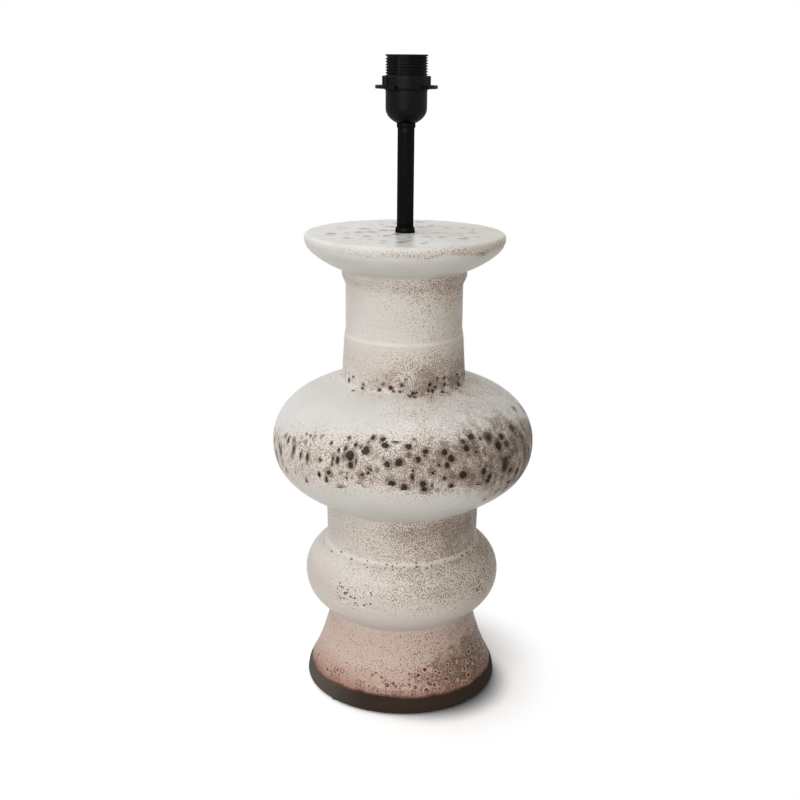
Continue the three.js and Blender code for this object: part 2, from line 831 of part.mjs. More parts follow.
// A flat sector of a ring, centred on an angle and given its height along Z
function sector(inner, outer, fromAngle, toAngle, height) {
  const shape = new THREE.Shape();
  shape.absarc(0, 0, outer, fromAngle, toAngle, false);
  shape.absarc(0, 0, inner, toAngle, fromAngle, true);
  shape.closePath();
  return new THREE.ExtrudeGeometry(shape, {
    depth: height,
    bevelEnabled: false,
    curveSegments: curveSteps * 2,
  });
}

function ringPockets() {
  const floorZ = wingThickness + pocketBottomBand;
  const height = ringHeight - floorZ - pocketTopBand;
  const sides = [0, Math.PI];
  return sides.flatMap((side) => pocketAngles.map(([from, to]) => sector(
    ringPocketRadius,
    ringRadius + overrun,
    side + THREE.MathUtils.degToRad(from),
    side + THREE.MathUtils.degToRad(to),
    height,
  ).translate(0, 0, floorZ)));
}

function shadeRing() {
  const bore = threadCrestRadius + clearance;
  const outline = [
    point(bore, 0),
    point(ringRadius, 0),
    point(ringRadius, ringHeight - ringEdge),
    point(ringRadius - ringEdge, ringHeight),
    point(bore, ringHeight),
  ];
  const collar = solidOf(turned(outline, holderFacets));
  const wingRoot = (bore + ringRadius) / 2;
  const wings = [0, Math.PI].map((side) => solidOf(
    sector(wingRoot, wingRadius, side - wingHalfAngle, side + wingHalfAngle, wingThickness),
  ));
  const winged = wings.reduce((ring, wing) => ring.add(wing), collar);
  const pockets = ringPockets().map(solidOf);
  return geometryOf(pockets.reduce((ring, pocket) => ring.subtract(pocket), winged));
}

function buildLampholder() {
  const rivetSeatZ = coreFloorZ + contactThickness;
  addPiece('dome_cap', domeCap(), blackPlastic, holderZ);
  addPiece('threaded_insert', threadedInsert(), brass, holderZ);
  addPiece('grub_screw', grubScrew(), zincSteel, holderZ);
  addPiece('insulating_core', insulatingCore(), porcelain, holderZ);
  addPiece('screw_shell', screwShell(), brass, holderZ + coreFloorZ);
  addPiece('contact_foot', contactFoot(), springBronze, holderZ);
  addPiece('centre_contact', centreContact(), springBronze, holderZ);
  const liveRivet = addPiece('live_rivet', rivet(liveRivetHeadRadius, rivetSeatZ), brass, holderZ);
  liveRivet.position.x = -liveRivetPlace;
  const shellSeatZ = coreFloorZ + socketSheet;
  const neutralRivet = rivet(neutralRivetHeadRadius, shellSeatZ);
  addPiece('neutral_rivet', neutralRivet, brass, holderZ).position.x = neutralRivetPlace;
  addPiece('live_terminal', terminalBlock(liveRivetPlace), brass, holderZ).rotation.z = Math.PI;
  addPiece('live_terminal_screw', terminalScrew(), zincSteel, holderZ).rotation.z = Math.PI;
  addPiece('neutral_terminal', terminalBlock(neutralRivetPlace), brass, holderZ);
  addPiece('neutral_terminal_screw', terminalScrew(), zincSteel, holderZ);
  addPiece('outer_shell', outerShell(), blackPlastic, holderZ + domeHeight);
  const ringZ = holderZ + domeHeight + shoulderHeight;
  addPiece('shade_ring', shadeRing(), blackPlastic, ringZ).rotation.z = ringTurn;
}

buildColumn();
buildStem();
buildLampholder();

export default lamp;
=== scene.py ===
# %% [markdown]
# # A stoneware lamp base, dressed for a portrait
# The lamp is a tall turned stoneware column with a flat tray on top, a short black stem and a black
# lampholder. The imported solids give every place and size. This lesson puts finer surfaces and real finishes
# on them. The frame is loaded first, because each piece is placed by it and rides on one of its bodies.

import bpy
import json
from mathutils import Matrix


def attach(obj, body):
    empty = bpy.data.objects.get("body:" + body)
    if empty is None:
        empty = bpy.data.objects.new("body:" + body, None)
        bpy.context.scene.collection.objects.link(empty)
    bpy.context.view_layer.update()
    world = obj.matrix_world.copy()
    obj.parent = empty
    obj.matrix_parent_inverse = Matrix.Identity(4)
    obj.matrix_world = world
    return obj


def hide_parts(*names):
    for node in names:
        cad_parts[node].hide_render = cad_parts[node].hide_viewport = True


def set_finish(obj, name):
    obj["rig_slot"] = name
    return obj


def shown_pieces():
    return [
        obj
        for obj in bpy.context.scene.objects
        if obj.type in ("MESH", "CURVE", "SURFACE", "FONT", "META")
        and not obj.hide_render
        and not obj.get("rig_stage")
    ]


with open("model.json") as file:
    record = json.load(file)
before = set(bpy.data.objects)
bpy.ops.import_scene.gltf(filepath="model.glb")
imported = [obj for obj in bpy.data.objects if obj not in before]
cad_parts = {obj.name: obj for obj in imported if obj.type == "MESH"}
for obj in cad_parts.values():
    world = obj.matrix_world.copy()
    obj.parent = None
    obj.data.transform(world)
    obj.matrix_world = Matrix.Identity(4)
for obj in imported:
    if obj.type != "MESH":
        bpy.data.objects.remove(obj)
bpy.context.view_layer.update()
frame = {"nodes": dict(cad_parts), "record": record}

# %% Tools
import functools
import json
import math

import bpy
import numpy as np
from mathutils import Matrix, Vector

MM = 0.001
FULL_TURN = 2 * math.pi
scene = bpy.context.scene


def stand(name, data):
    """An object of that name in the scene, at the origin."""
    item = bpy.data.objects.new(name, data)
    scene.collection.objects.link(item)
    return item


print("the scene is", scene.name)

# %% [markdown]
# ## The camera
# A portrait of a tall object is taken from a little above, with a lens long enough to keep the column
# upright. A camera could be aimed with a constraint, but two plain angles are easier to read and to repeat:
# it is pitched down, and it leans by half a degree, as a hand-set tripod does.

# %% Camera
CAMERA_PLACE = (-0.00334, -1.1322, 0.6297)
CAMERA_PITCH = math.radians(73.72)
CAMERA_LEAN = math.radians(0.535)
camera_data = bpy.data.cameras.new("portrait_camera")
camera_data.sensor_width = 36
camera_data.lens = 52.79
camera = stand("portrait_camera", camera_data)
camera.matrix_world = (
    Matrix.Translation(CAMERA_PLACE)
    @ Matrix.Rotation(CAMERA_PITCH, 4, "X")
    @ Matrix.Rotation(CAMERA_LEAN, 4, "Z")
)
scene.camera = camera
print("camera at", CAMERA_PLACE, "lens", camera_data.lens, "mm")

# %% [markdown]
# ## The light
# The lamp stands in soft studio light: a very wide source nearly overhead, a little behind and to the left,
# which throws the shadow forwards to the right, a stronger one in front on the left, and pale walls that
# fill the rest. Area lamps would fade across the floor. Suns with a wide disc give the same soft shadows and
# light all of it evenly.

# %% Suns
def add_sun(name, direction, strength, spread):
    """A sun that shines from a direction, with a disc that is spread over an angle in degrees."""
    data = bpy.data.lights.new(name, "SUN")
    data.energy = strength
    data.angle = math.radians(spread)
    stand(name, data).rotation_euler = Vector(direction).to_track_quat("Z", "Y").to_euler()
    print(name, "strength", strength)


add_sun("overhead_light", (-0.34, 0.20, 0.90), 1.3, 75)
add_sun("front_light", (-0.30, -0.84, 0.44), 2.1, 65)

# %% Node helpers
def feed(target, source):
    """Joins a socket to another one, or writes a plain value into it."""
    if isinstance(source, bpy.types.NodeSocket):
        target.id_data.links.new(source, target)
    else:
        target.default_value = source


def add_node(tree, kind, inputs=None, **settings):
    """A node of a kind, with its settings written and its inputs fed by name or by number."""
    node = tree.nodes.new("ShaderNode" + kind)
    for name, value in settings.items():
        setattr(node, name, value)
    for name, source in (inputs or {}).items():
        feed(node.inputs[name], source)
    return node


def calculate(operation, first, second=0.0, clamp=False):
    """The result of one step of arithmetic on two numbers, beside the first socket among them."""
    tree = next(number.id_data for number in (first, second) if isinstance(number, bpy.types.NodeSocket))
    return add_node(tree, "Math", {0: first, 1: second}, operation=operation, use_clamp=clamp).outputs[0]


def chained(operation):
    """A function that works such a step along two or more numbers."""
    return lambda *numbers: functools.reduce(functools.partial(calculate, operation), numbers)


times, plus, minus, highest = [chained(step) for step in ("MULTIPLY", "ADD", "SUBTRACT", "MAXIMUM")]


def vector(operation, first, second=(0, 0, 0)):
    """The two outputs, vector and number, of one step of arithmetic on a vector."""
    return add_node(first.id_data, "VectorMath", {0: first, 1: second}, operation=operation).outputs


def noise(place, scale, detail=3.0, roughness=0.5):
    """The two outputs, number and colour, of cloudy noise at a place."""
    inputs = {"Vector": place, "Scale": scale, "Detail": detail, "Roughness": roughness}
    return add_node(place.id_data, "TexNoise", inputs).outputs


def ease(value, start, end, low=0.0, high=1.0):
    """A soft step: low until the value reaches start, high after end, and an S-shaped curve between them."""
    inputs = {"Value": value, "From Min": start, "From Max": end, "To Min": low, "To Max": high}
    return add_node(value.id_data, "MapRange", inputs, interpolation_type="SMOOTHSTEP").outputs[0]


def blend(share, under, over):
    """A colour that goes from under to over as the share goes from 0 to 1."""
    return add_node(share.id_data, "Mix", {0: share, 6: under, 7: over}, data_type="RGBA").outputs[2]


print("node helpers ready")

# %% Colours
def colour(red, green, blue):
    """A colour as it is read off a screen, 0 to 255, turned into the linear light that shaders add up."""
    share = np.array([red, green, blue]) / 255
    linear = np.where(share <= 0.04045, share / 12.92, ((share + 0.055) / 1.055) ** 2.4)
    return (*linear.tolist(), 1.0)


print("paper white is", [round(v, 3) for v in colour(235, 235, 235)[:3]])

# %% [markdown]
# ## Backdrop and floor
# The portrait has a plain white ground with only a soft shadow on it. Lighting a floor until it is white
# would also overexpose the glaze. So the lens, a reflection and a refraction see a floor that is paler than
# it is for the light that it throws back at the lamp. Close to the foot it is matt paper that takes the
# shadow, and further out it turns into plain white, as a lit paper sweep does. The suns' shadow is paler
# than the one in the portrait where it touches the foot, so the paper is darker there, within a circle that
# looks out from under the foot on the side away from the light. From below it is clear, so that the
# underside of the lamp can be looked at. Where the foot hides it, it glows for the clay above it alone, or
# the hollow would be black from there. It lies a hair under the felt pads, because two faces at the same
# height flicker. The world behind it is white in the same way, and dimmer where it only lights the object.

# %% World
WORLD_STRENGTH = 0.22
WALL_TONE = (1.0, 0.98, 0.955, 1)
world = bpy.data.worlds.new("white_room")
world.use_nodes = True
scene.world = world
world_tree = world.node_tree
world_tree.nodes.clear()


def seen_directly(tree):
    """1 for a ray that comes straight from the lens, a glossy surface or a clear one, else 0."""
    path = add_node(tree, "LightPath").outputs
    return highest(path["Is Camera Ray"], path["Is Glossy Ray"], path["Is Transmission Ray"])


def mixed(share, under, over):
    """A shader that goes from one node's to another's as the share goes from 0 to 1."""
    return add_node(share.id_data, "MixShader", {0: share, 1: under.outputs[0], 2: over.outputs[0]})


room_fill = add_node(world_tree, "Background", {"Color": WALL_TONE, "Strength": WORLD_STRENGTH})
room_white = add_node(world_tree, "Background", {"Color": (1, 1, 1, 1), "Strength": 1.0})
room = mixed(seen_directly(world_tree), room_fill, room_white)
add_node(world_tree, "OutputWorld", {"Surface": room.outputs[0]})
print("world light", WORLD_STRENGTH)

# %% Floor
FLOOR_HALF, FLOOR_LEVEL = 14.0, -0.2 * MM
FLOOR_SHOWN, FLOOR_THROWN = 1.34, 0.72
SHADOW_FADES, SHADOW_ENDS = 0.117, 0.18
SHADE_CENTRE = (0.0306, -0.0257, 0.0)
SHADE_CORE, SHADE_END, SHADE_LEVEL = 0.054, 0.092, 0.12
GLOW_FADES, GLOW_ENDS, GLOW = 0.0943, 0.0972, 0.7
floor_mesh = bpy.data.meshes.new("studio_floor")
corners = np.array([(-1, -1, 0), (1, -1, 0), (1, 1, 0), (-1, 1, 0)]) * FLOOR_HALF + (0, 0, FLOOR_LEVEL)
floor_mesh.from_pydata(corners.tolist(), [], [(0, 1, 2, 3)])
floor_paint = bpy.data.materials.new("studio_floor")
floor_paint.use_nodes = True
floor_tree = floor_paint.node_tree
floor_tree.nodes.clear()
direct = seen_directly(floor_tree)
on_floor = add_node(floor_tree, "TexCoord").outputs["Object"]
from_shade = vector("DISTANCE", on_floor, SHADE_CENTRE)["Value"]
floor_shown = ease(from_shade, SHADE_CORE, SHADE_END, SHADE_LEVEL * FLOOR_SHOWN, FLOOR_SHOWN)
floor_matt = add_node(floor_tree, "BsdfDiffuse", {"Color": ease(direct, 0.0, 1.0, FLOOR_THROWN, floor_shown)})
floor_white = add_node(floor_tree, "Emission", {"Strength": 1.0})
from_lamp = vector("LENGTH", on_floor)["Value"]
floor_seen = mixed(times(direct, ease(from_lamp, SHADOW_FADES, SHADOW_ENDS)), floor_matt, floor_white)
under_lamp = ease(from_lamp, GLOW_ENDS, GLOW_FADES, 0.0, GLOW)
floor_glow = add_node(floor_tree, "Emission", {"Strength": times(under_lamp, minus(1.0, direct))})
floor_top = add_node(floor_tree, "AddShader", {0: floor_seen.outputs[0], 1: floor_glow.outputs[0]})
from_below = add_node(floor_tree, "NewGeometry").outputs["Backfacing"]
floor_sides = mixed(from_below, floor_top, add_node(floor_tree, "BsdfTransparent"))
add_node(floor_tree, "OutputMaterial", {"Surface": floor_sides.outputs[0]})
floor_mesh.materials.append(floor_paint)
floor = stand("studio_floor", floor_mesh)
floor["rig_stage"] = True
scene.view_settings.view_transform = "Standard"
print("floor", 2 * FLOOR_HALF, "m wide")

# %% [markdown]
# ## Outlines
# Everything on this lamp was turned, moulded or drawn as a tube, so each piece starts as an outline of
# radius and height. Outlines could be drawn as Blender curves, but arrays of numbers can be respaced,
# softened and moved inwards exactly. The outer side of an outline runs upwards, which makes the faces point
# outwards when it is turned.

# %% Outline helpers
def line(start, end, count=2):
    """Even steps from start to end, both kept: start plus a share of the way."""
    share = np.linspace(0, 1, count)[:, None]
    return np.array(start, float) + share * (np.array(end, float) - np.array(start, float))


def curve(*handles, count=24):
    """A curve pulled by three or four handles, each weighted by its own power of the share t of the way."""
    t = np.linspace(0, 1, count)[:, None]
    order = len(handles) - 1
    weights = [math.comb(order, k) * t ** k * (1 - t) ** (order - k) for k in range(order + 1)]
    return sum(weight * np.array(handle, float) for weight, handle in zip(weights, handles))


def chain(*paths):
    """Paths joined end to end, with points that repeat taken out."""
    joined = np.vstack(paths)
    step = np.linalg.norm(np.diff(joined, axis=0), axis=1)
    return joined[np.concatenate([[True], step > 1e-6])]


def even(path, spacing):
    """The same path with its points one spacing apart, measured along it."""
    step = np.linalg.norm(np.diff(path, axis=0), axis=1)
    travelled = np.concatenate([[0], np.cumsum(step)])
    places = np.linspace(0, travelled[-1], max(2, round(travelled[-1] / spacing) + 1))
    return np.stack([np.interp(places, travelled, path[:, k]) for k in (0, 1)], axis=1)


def soften(path, spacing, width):
    """An evenly spaced path averaged with its neighbours by a bell curve of that width. Its ends are kept."""
    reach = int(math.ceil(3 * width / spacing))
    offsets = np.arange(-reach, reach + 1)
    bell = np.exp(-0.5 * (offsets * spacing / width) ** 2)
    head = 2 * path[:1] - path[reach:0:-1]
    tail = 2 * path[-1:] - path[-2:-reach - 2:-1]
    long_path = np.vstack([head, path, tail])
    return np.stack([np.convolve(long_path[:, k], bell / bell.sum(), "valid") for k in (0, 1)], axis=1)


def inset(path, depth):
    """A path moved to its left by a depth, along the line square to its own direction."""
    along = np.gradient(path, axis=0)
    along /= np.linalg.norm(along, axis=1)[:, None]
    return path + depth * np.stack([-along[:, 1], along[:, 0]], axis=1)


def rounded(corners, radius, steps=4):
    """A closed outline with its corners rounded: each leaves its edge one radius before the corner,
    and bends to the next edge as (1-t)(1-t) start + 2t(1-t) corner + tt end."""
    corner = np.array(corners, float)
    back = np.roll(corner, 1, 0) - corner
    ahead = np.roll(corner, -1, 0) - corner
    back_length = np.linalg.norm(back, axis=1)[:, None]
    ahead_length = np.linalg.norm(ahead, axis=1)[:, None]
    cut = np.broadcast_to(np.asarray(radius, float), (len(corner),))[:, None]
    start = corner + back / back_length * np.minimum(cut, 0.45 * back_length)
    end = corner + ahead / ahead_length * np.minimum(cut, 0.45 * ahead_length)
    t = np.linspace(0, 1, steps)[None, :, None]
    bent = (1 - t) ** 2 * start[:, None] + 2 * t * (1 - t) * corner[:, None] + t ** 2 * end[:, None]
    return chain(bent.reshape(-1, 2))


print("outline helpers ready")

# %% [markdown]
# ## From an outline to a skin
# A turned skin is a grid of points: one direction follows the outline, the other goes round the axis.
# Blender's Screw modifier would do this too, but a grid that the script works out can also change its
# radius with the angle, which is what a thread, a wing or a hand-made wobble needs.

# %% Skin helpers
SHARP_BEND = math.radians(40)


def stood_up(outline, columns):
    """Radii, angles and heights of a turned grid: row i, column j is outline point i at angle j."""
    angle = np.arange(columns) / columns * FULL_TURN
    radius = np.repeat(outline[:, :1], columns, axis=1)
    height = np.repeat(outline[:, 1:], columns, axis=1)
    return radius, np.broadcast_to(angle, radius.shape), height


def skin(name, radius, angle, height, place=None, capped=False):
    """A mesh that closes both ways: each point is (radius cos angle, radius sin angle, height) in
    millimetres, and each face joins a point, the next one round, and the two above them.
    A capped one isn't joined from top to bottom, but has a flat face on its first ring and on its last."""
    points = np.stack([radius * np.cos(angle), radius * np.sin(angle), height], axis=-1)
    points = points if place is None else place(points)
    rows, columns = radius.shape
    i, j = np.meshgrid(np.arange(rows - 1 if capped else rows), np.arange(columns), indexing="ij")
    here, above, beside = i * columns, (i + 1) % rows * columns, (j + 1) % columns
    faces = np.stack([here + j, here + beside, above + beside, above + j], axis=-1).reshape(-1, 4).tolist()
    if capped:
        ring = np.arange(columns)
        faces += [ring[::-1].tolist(), (ring + (rows - 1) * columns).tolist()]
    return mesh_piece(name, points.reshape(-1, 3), faces)


def mesh_piece(name, points, faces):
    """An object at the origin from points in millimetres and their faces, smooth except at sharp bends."""
    mesh = bpy.data.meshes.new(name)
    mesh.from_pydata((points * MM).tolist(), [], faces)
    mesh.update()
    mesh.shade_smooth()
    mesh.set_sharp_from_angle(angle=SHARP_BEND)
    print(name, len(mesh.vertices), "points")
    return stand(name, mesh)


def turned(name, outline, columns=96, place=None, capped=False):
    """A plain turned piece: the same outline at every angle."""
    return skin(name, *stood_up(np.array(outline, float), columns), place, capped)


def joined_to_body(piece, stands_for, slot, body="lamp_body"):
    """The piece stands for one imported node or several, takes their finish slot and moves with their body."""
    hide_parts(*([stands_for] if isinstance(stands_for, str) else stands_for))
    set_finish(piece, slot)
    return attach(piece, body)


def cut_by(piece, cutter):
    """Takes the cutter's space out of the piece and removes the cutter."""
    modifier = piece.modifiers.new("cut", "BOOLEAN")
    modifier.operation = "DIFFERENCE"
    modifier.solver = "EXACT"
    modifier.object = cutter
    evaluated = piece.evaluated_get(bpy.context.evaluated_depsgraph_get())
    mesh = bpy.data.meshes.new_from_object(evaluated)
    piece.modifiers.clear()
    piece.data = mesh
    bpy.data.objects.remove(cutter)
    mesh.set_sharp_from_angle(angle=SHARP_BEND)


print("skin helpers ready")

# %% [markdown]
# ## The column
# A column this tall is thrown in sections, but the glaze runs over their seams. So one piece stands for all
# six of them: a bell foot, a ring, a short waist, a round belly, a neck with a bead, and a tray.
# Its hollow follows the outside one wall further in, and it is open underneath. The outside is respaced
# finely and softened, because glaze rounds every crease that the tool left. The lowest few centimetres keep
# all of their points, for the step at the glaze's edge. Above them every second point is enough.

# %% Column outline
WALL = 6.0
BASE, TOP, CEILING = 1.2, 467.8, 461.8
bell = curve((96.3, 15.5), (84.6, 32.9), (72.9, 79.8))
ring_low = curve((72.9, 79.8), (84.5, 88.5), (99.43, 97.77), (99.43, 120.1))
ring_high = curve((99.43, 120.1), (99.43, 142.5), (79.58, 153.4), (76.87, 153.4))
belly_low = curve((77.66, 198.4), (103.1, 212.4), (131.06, 224.8), (131.06, 260.25), count=36)
belly_high = curve((131.06, 260.25), (131.06, 305.5), (79.2, 319.7), (61.69, 322.6), count=36)
flare = curve((61.2, 433.3), (79.9, 439.7), (97.8, 454.2), (96.1, 458.5))
outside = chain(
    line((85.6, BASE), (97.1, BASE)), line((98.6, 2.7), (98.6, 6.2)),
    curve((98.6, 6.2), (98.6, 10.85), (96.3, 15.5)), bell, ring_low, ring_high, belly_low, belly_high,
    line((61.69, 322.6), (58.85, 367.9)), line((57.48, 374.5), (57.48, 418.8)),
    line((61.2, 426.45), (61.2, 433.3)), flare, line((97.59, 460.5), (97.59, 464.5)),
    curve((97.59, 464.5), (97.59, TOP), (93.79, TOP)), line((93.79, TOP), (6, TOP)),
)
OUTSIDE_STEP, SOFTENING, HOLLOW_STEP = 0.98, 1.15, 8.5
EDGE_ZONE_TOP, EDGE_ZONE_POINTS = 27, 80
outside = soften(even(outside, OUTSIDE_STEP), OUTSIDE_STEP, SOFTENING)
count_up = np.arange(len(outside))
in_edge_zone = (outside[:, 1] < EDGE_ZONE_TOP) & (count_up < EDGE_ZONE_POINTS)
outside = outside[in_edge_zone | (count_up % 2 == 0)]
hollow = chain(
    inset(bell, WALL), inset(ring_low, WALL), inset(ring_high, WALL), line((70.87, 153.4), (71.66, 198.4)),
    inset(belly_low, WALL), inset(belly_high, WALL), line((55.69, 322.6), (51.48, 374.5)),
    line((51.48, 374.5), (51.48, 433.3)), inset(flare, WALL), line((90.1, CEILING), (6, CEILING)),
)
hollow = even(hollow[hollow[:, 1] <= CEILING + 0.01], HOLLOW_STEP)
column_outline = np.vstack([outside, hollow[::-1]])
print("column outline:", len(outside), "outer and", len(hollow), "inner points")

# %% [markdown]
# ### The hand of the potter
# A thrown form is never exact. It swells and shrinks by a few tenths of a millimetre around the turn, and
# the fingers leave shallow rings up the wall. Both only take material away, so the column keeps its full
# size. The glaze also has a thickness: below its wavy lower edge the wall steps in to bare clay.

# %% Column skin
COLUMN_COLUMNS = 212
WOBBLE = 0.26
FINGER_RINGS = 0.07
GLAZE_THICKNESS = 0.42
GLAZE_EDGE_HEIGHT, GLAZE_EDGE_SWING = 17.4, 1.7


def wave(angle, counts, seed):
    """A closed wavy line between about -1 and 1: a sum of cosines that each fit the turn a whole number
    of times."""
    draw = np.random.default_rng(seed)
    phase = draw.uniform(0, FULL_TURN, len(counts))
    size = draw.uniform(0.5, 1.0, len(counts)) / np.sqrt(np.array(counts, float))
    size /= size.sum()
    terms = size * np.cos(angle[..., None] * np.array(counts) + phase)
    return terms.sum(-1) * 1.6


def soft_step(value, start, end):
    """0 until start, 1 after end, and 3ss - 2sss of the share s between them."""
    share = np.clip((value - start) / (end - start), 0, 1)
    return share * share * (3 - 2 * share)


radius, angle, height = stood_up(column_outline, COLUMN_COLUMNS)
is_outer = (np.arange(len(column_outline)) < len(outside))[:, None]
glaze_edge = GLAZE_EDGE_HEIGHT + GLAZE_EDGE_SWING * wave(angle, [2, 3, 5, 7, 11, 17, 23, 31], 5)
above_edge = height - glaze_edge
uneven = WOBBLE * (0.5 + 0.5 * wave(angle + height / 190, [1, 2, 3, 4], 7))
rings = FINGER_RINGS * (0.5 + 0.5 * np.sin(height * 1.15 + 1.8 * np.sin(height / 17)))
side_wall = soft_step(radius, 20, 45) * soft_step(height, BASE + 0.4, 12) * soft_step(TOP - height, 0.5, 14)
bare = GLAZE_THICKNESS * (1 - soft_step(above_edge, -0.7, 0.9)) * soft_step(height, BASE + 1.5, 8)
radius = radius - is_outer * (side_wall * (uneven + rings) + bare)
column = skin("column", radius, angle, height)
glaze_height = column.data.attributes.new("above_glaze_edge", "FLOAT", "POINT")
glaze_height.data.foreach_set("value", np.where(is_outer, above_edge, -100.0).ravel().astype(np.float32))

# %% [markdown]
# ### The cable's way out
# At the back of the bare band a hole takes a rubber bushing, in a small flat seat. A hole across a turned
# grid is simplest as a Boolean cut, applied once, so that the finished mesh is plain.

# %% Cable hole
BACK_HEIGHT = 9.8


def facing_back(points):
    """Turns a piece made about Z so that its axis lies along +Y at the height of the cable hole."""
    return np.stack([points[..., 0], points[..., 2], BACK_HEIGHT - points[..., 1]], axis=-1)


def solid_bar(name, bar_radius, start, end, columns=48, place=None):
    """A closed bar about Z: one ring at its start and one at its end, each with its flat face."""
    return turned(name, [(bar_radius, start), (bar_radius, end)], columns, place, capped=True)


cut_by(column, solid_bar("cable_hole", 5.2, 80, 106, place=facing_back))
cut_by(column, solid_bar("cable_seat", 6.9, 97.0, 106, place=facing_back))
SECTIONS = ["column_foot", "column_ring", "column_waist", "column_belly", "column_neck", "column_tray"]
joined_to_body(column, SECTIONS, "glazed_stoneware")
bushing = turned("bushing", rounded(
    [(3.5, 85.6), (4.9, 85.6), (4.9, 97.0), (6.6, 97.0), (6.6, 98.3), (3.5, 98.3)],
    [0.3, 0.3, 0.15, 0.4, 0.5, 0.45]), 64, facing_back)
joined_to_body(bushing, "cable_bushing", "soft_rubber")

# %% [markdown]
# ### Felt pads
# Four small felt discs keep the clay off the table. A felt disc is cut with a punch, so its edge is a
# little ragged. A grid whose radius wavers gives that edge, and one flat face closes it above and below.

# %% Felt pads
PAD_RADIUS, PAD_CIRCLE, PAD_THICKNESS = 5.0, 92.1, 1.2
for index in range(4):
    turn = (index + 0.5) * FULL_TURN / 4
    centre = np.array([PAD_CIRCLE * math.cos(turn), PAD_CIRCLE * math.sin(turn), 0])
    outline = rounded(
        [(3, 0), (PAD_RADIUS, 0), (PAD_RADIUS, PAD_THICKNESS), (3, PAD_THICKNESS)], [0, 0.35, 0.3, 0], 5)
    pad_radius, pad_angle, pad_height = stood_up(outline, 72)
    ragged = 1 - 0.012 * (1 + wave(pad_angle, [3, 5, 9, 14, 22], 30 + index))
    pad = skin(f"pad_{index + 1}", pad_radius * ragged, pad_angle, pad_height,
               lambda points, c=centre: points + c, capped=True)
    joined_to_body(pad, f"felt_pad_{index + 1}", "felt")

# %% [markdown]
# ## The clamp under the tray
# A hollow threaded rod runs from under the tray up into the lampholder. A soft washer, a plate washer, a
# toothed washer and a nut pull it tight. They are seen only from below, but the thread and the teeth catch
# the light there.

# %% Rod, washers and nut
ROD_RADIUS, ROD_BORE, ROD_FIT = 5.0, 3.4, 5.3
ROD_LOW, ROD_THREAD_END, ROD_TOP = 441.8, 456.4, 582.0
NUT_LOW, TOOTHED_LOW, PLATE_LOW, SOFT_LOW = 450.8, 455.8, 456.8, 458.8


def threaded(angle, height, pitch, root, crest, starts_at=0.0):
    """The radius of a right-handed thread: a cosine of height less angle, cut flat at root and crest."""
    rise = 0.5 + 0.75 * np.cos(FULL_TURN * (height - starts_at) / pitch - angle)
    return root + (crest - root) * np.clip(rise, 0, 1)


cut_thread = line((ROD_RADIUS, ROD_LOW + 0.6), (ROD_RADIUS, ROD_THREAD_END), 118)
rod_outline = np.vstack([
    [(ROD_BORE, ROD_LOW), (ROD_RADIUS - 0.6, ROD_LOW)], cut_thread,
    [(ROD_RADIUS, 457), (ROD_RADIUS, ROD_TOP - 0.4), (ROD_RADIUS - 0.4, ROD_TOP), (ROD_BORE, ROD_TOP)],
])
radius, angle, height = stood_up(rod_outline, 56)
run_in = soft_step(height, ROD_LOW + 0.3, ROD_LOW + 1.6)
run_out = 1 - soft_step(height, 455.4, ROD_THREAD_END)
on_thread = run_in * run_out * (radius > ROD_RADIUS - 0.1)
thread = threaded(angle, height, 1.0, ROD_RADIUS - 0.55, ROD_RADIUS)
rod = skin("rod", radius + on_thread * (thread - radius), angle, height)
joined_to_body(rod, "threaded_rod", "zinc_steel")

joined_to_body(turned("washer_soft", rounded(
    [(ROD_FIT, SOFT_LOW), (19, SOFT_LOW), (19, CEILING), (ROD_FIT, CEILING)], 0.6), 120),
    "soft_washer", "soft_rubber")
joined_to_body(turned("washer_plate", rounded(
    [(ROD_FIT, PLATE_LOW), (16, PLATE_LOW), (16, SOFT_LOW), (ROD_FIT, SOFT_LOW)],
    [0.15, 0.5, 0.25, 0.1]), 120), "plate_washer", "zinc_steel")
radius, angle, height = stood_up(rounded(
    [(ROD_FIT, TOOTHED_LOW), (9, TOOTHED_LOW), (9, PLATE_LOW), (ROD_FIT, PLATE_LOW)], 0.12, 3), 288)
TEETH, TEETH_DEPTH = 16, 0.55
teeth = np.clip(1.4 * np.cos(TEETH * angle + 2.2 * (height - TOOTHED_LOW)), -1, 1)
radius = radius - (radius > 7) * TEETH_DEPTH * (1 - teeth)
joined_to_body(skin("washer_toothed", radius, angle, height), "lock_washer", "zinc_steel")

NUT_FLATS = 14.0
nut_outline = np.vstack([
    [(ROD_FIT, NUT_LOW + 0.5), (ROD_FIT + 0.5, NUT_LOW)], line((7.2, NUT_LOW), (7.2, TOOTHED_LOW), 22),
    [(ROD_FIT + 0.5, TOOTHED_LOW), (ROD_FIT, TOOTHED_LOW - 0.5)],
])
radius, angle, height = stood_up(nut_outline, 180)
from_flat = (angle + FULL_TURN / 12) % (FULL_TURN / 6) - FULL_TURN / 12
hexagon = NUT_FLATS / 2 / np.cos(from_flat)
end_cone = 7.15 + 1.75 * np.minimum(height - NUT_LOW, TOOTHED_LOW - height)
radius = np.where(radius > 7, np.minimum(hexagon, end_cone), radius)
joined_to_body(skin("nut", radius, angle + FULL_TURN / 12, height), "hex_nut", "zinc_steel")

# %% [markdown]
# ## The stem
# The stem is a painted tube that stands in a shallow foot ring and carries a short collar under the
# lampholder. Paint gathers in corners and thins on edges, so each corner gets a small radius of its own.

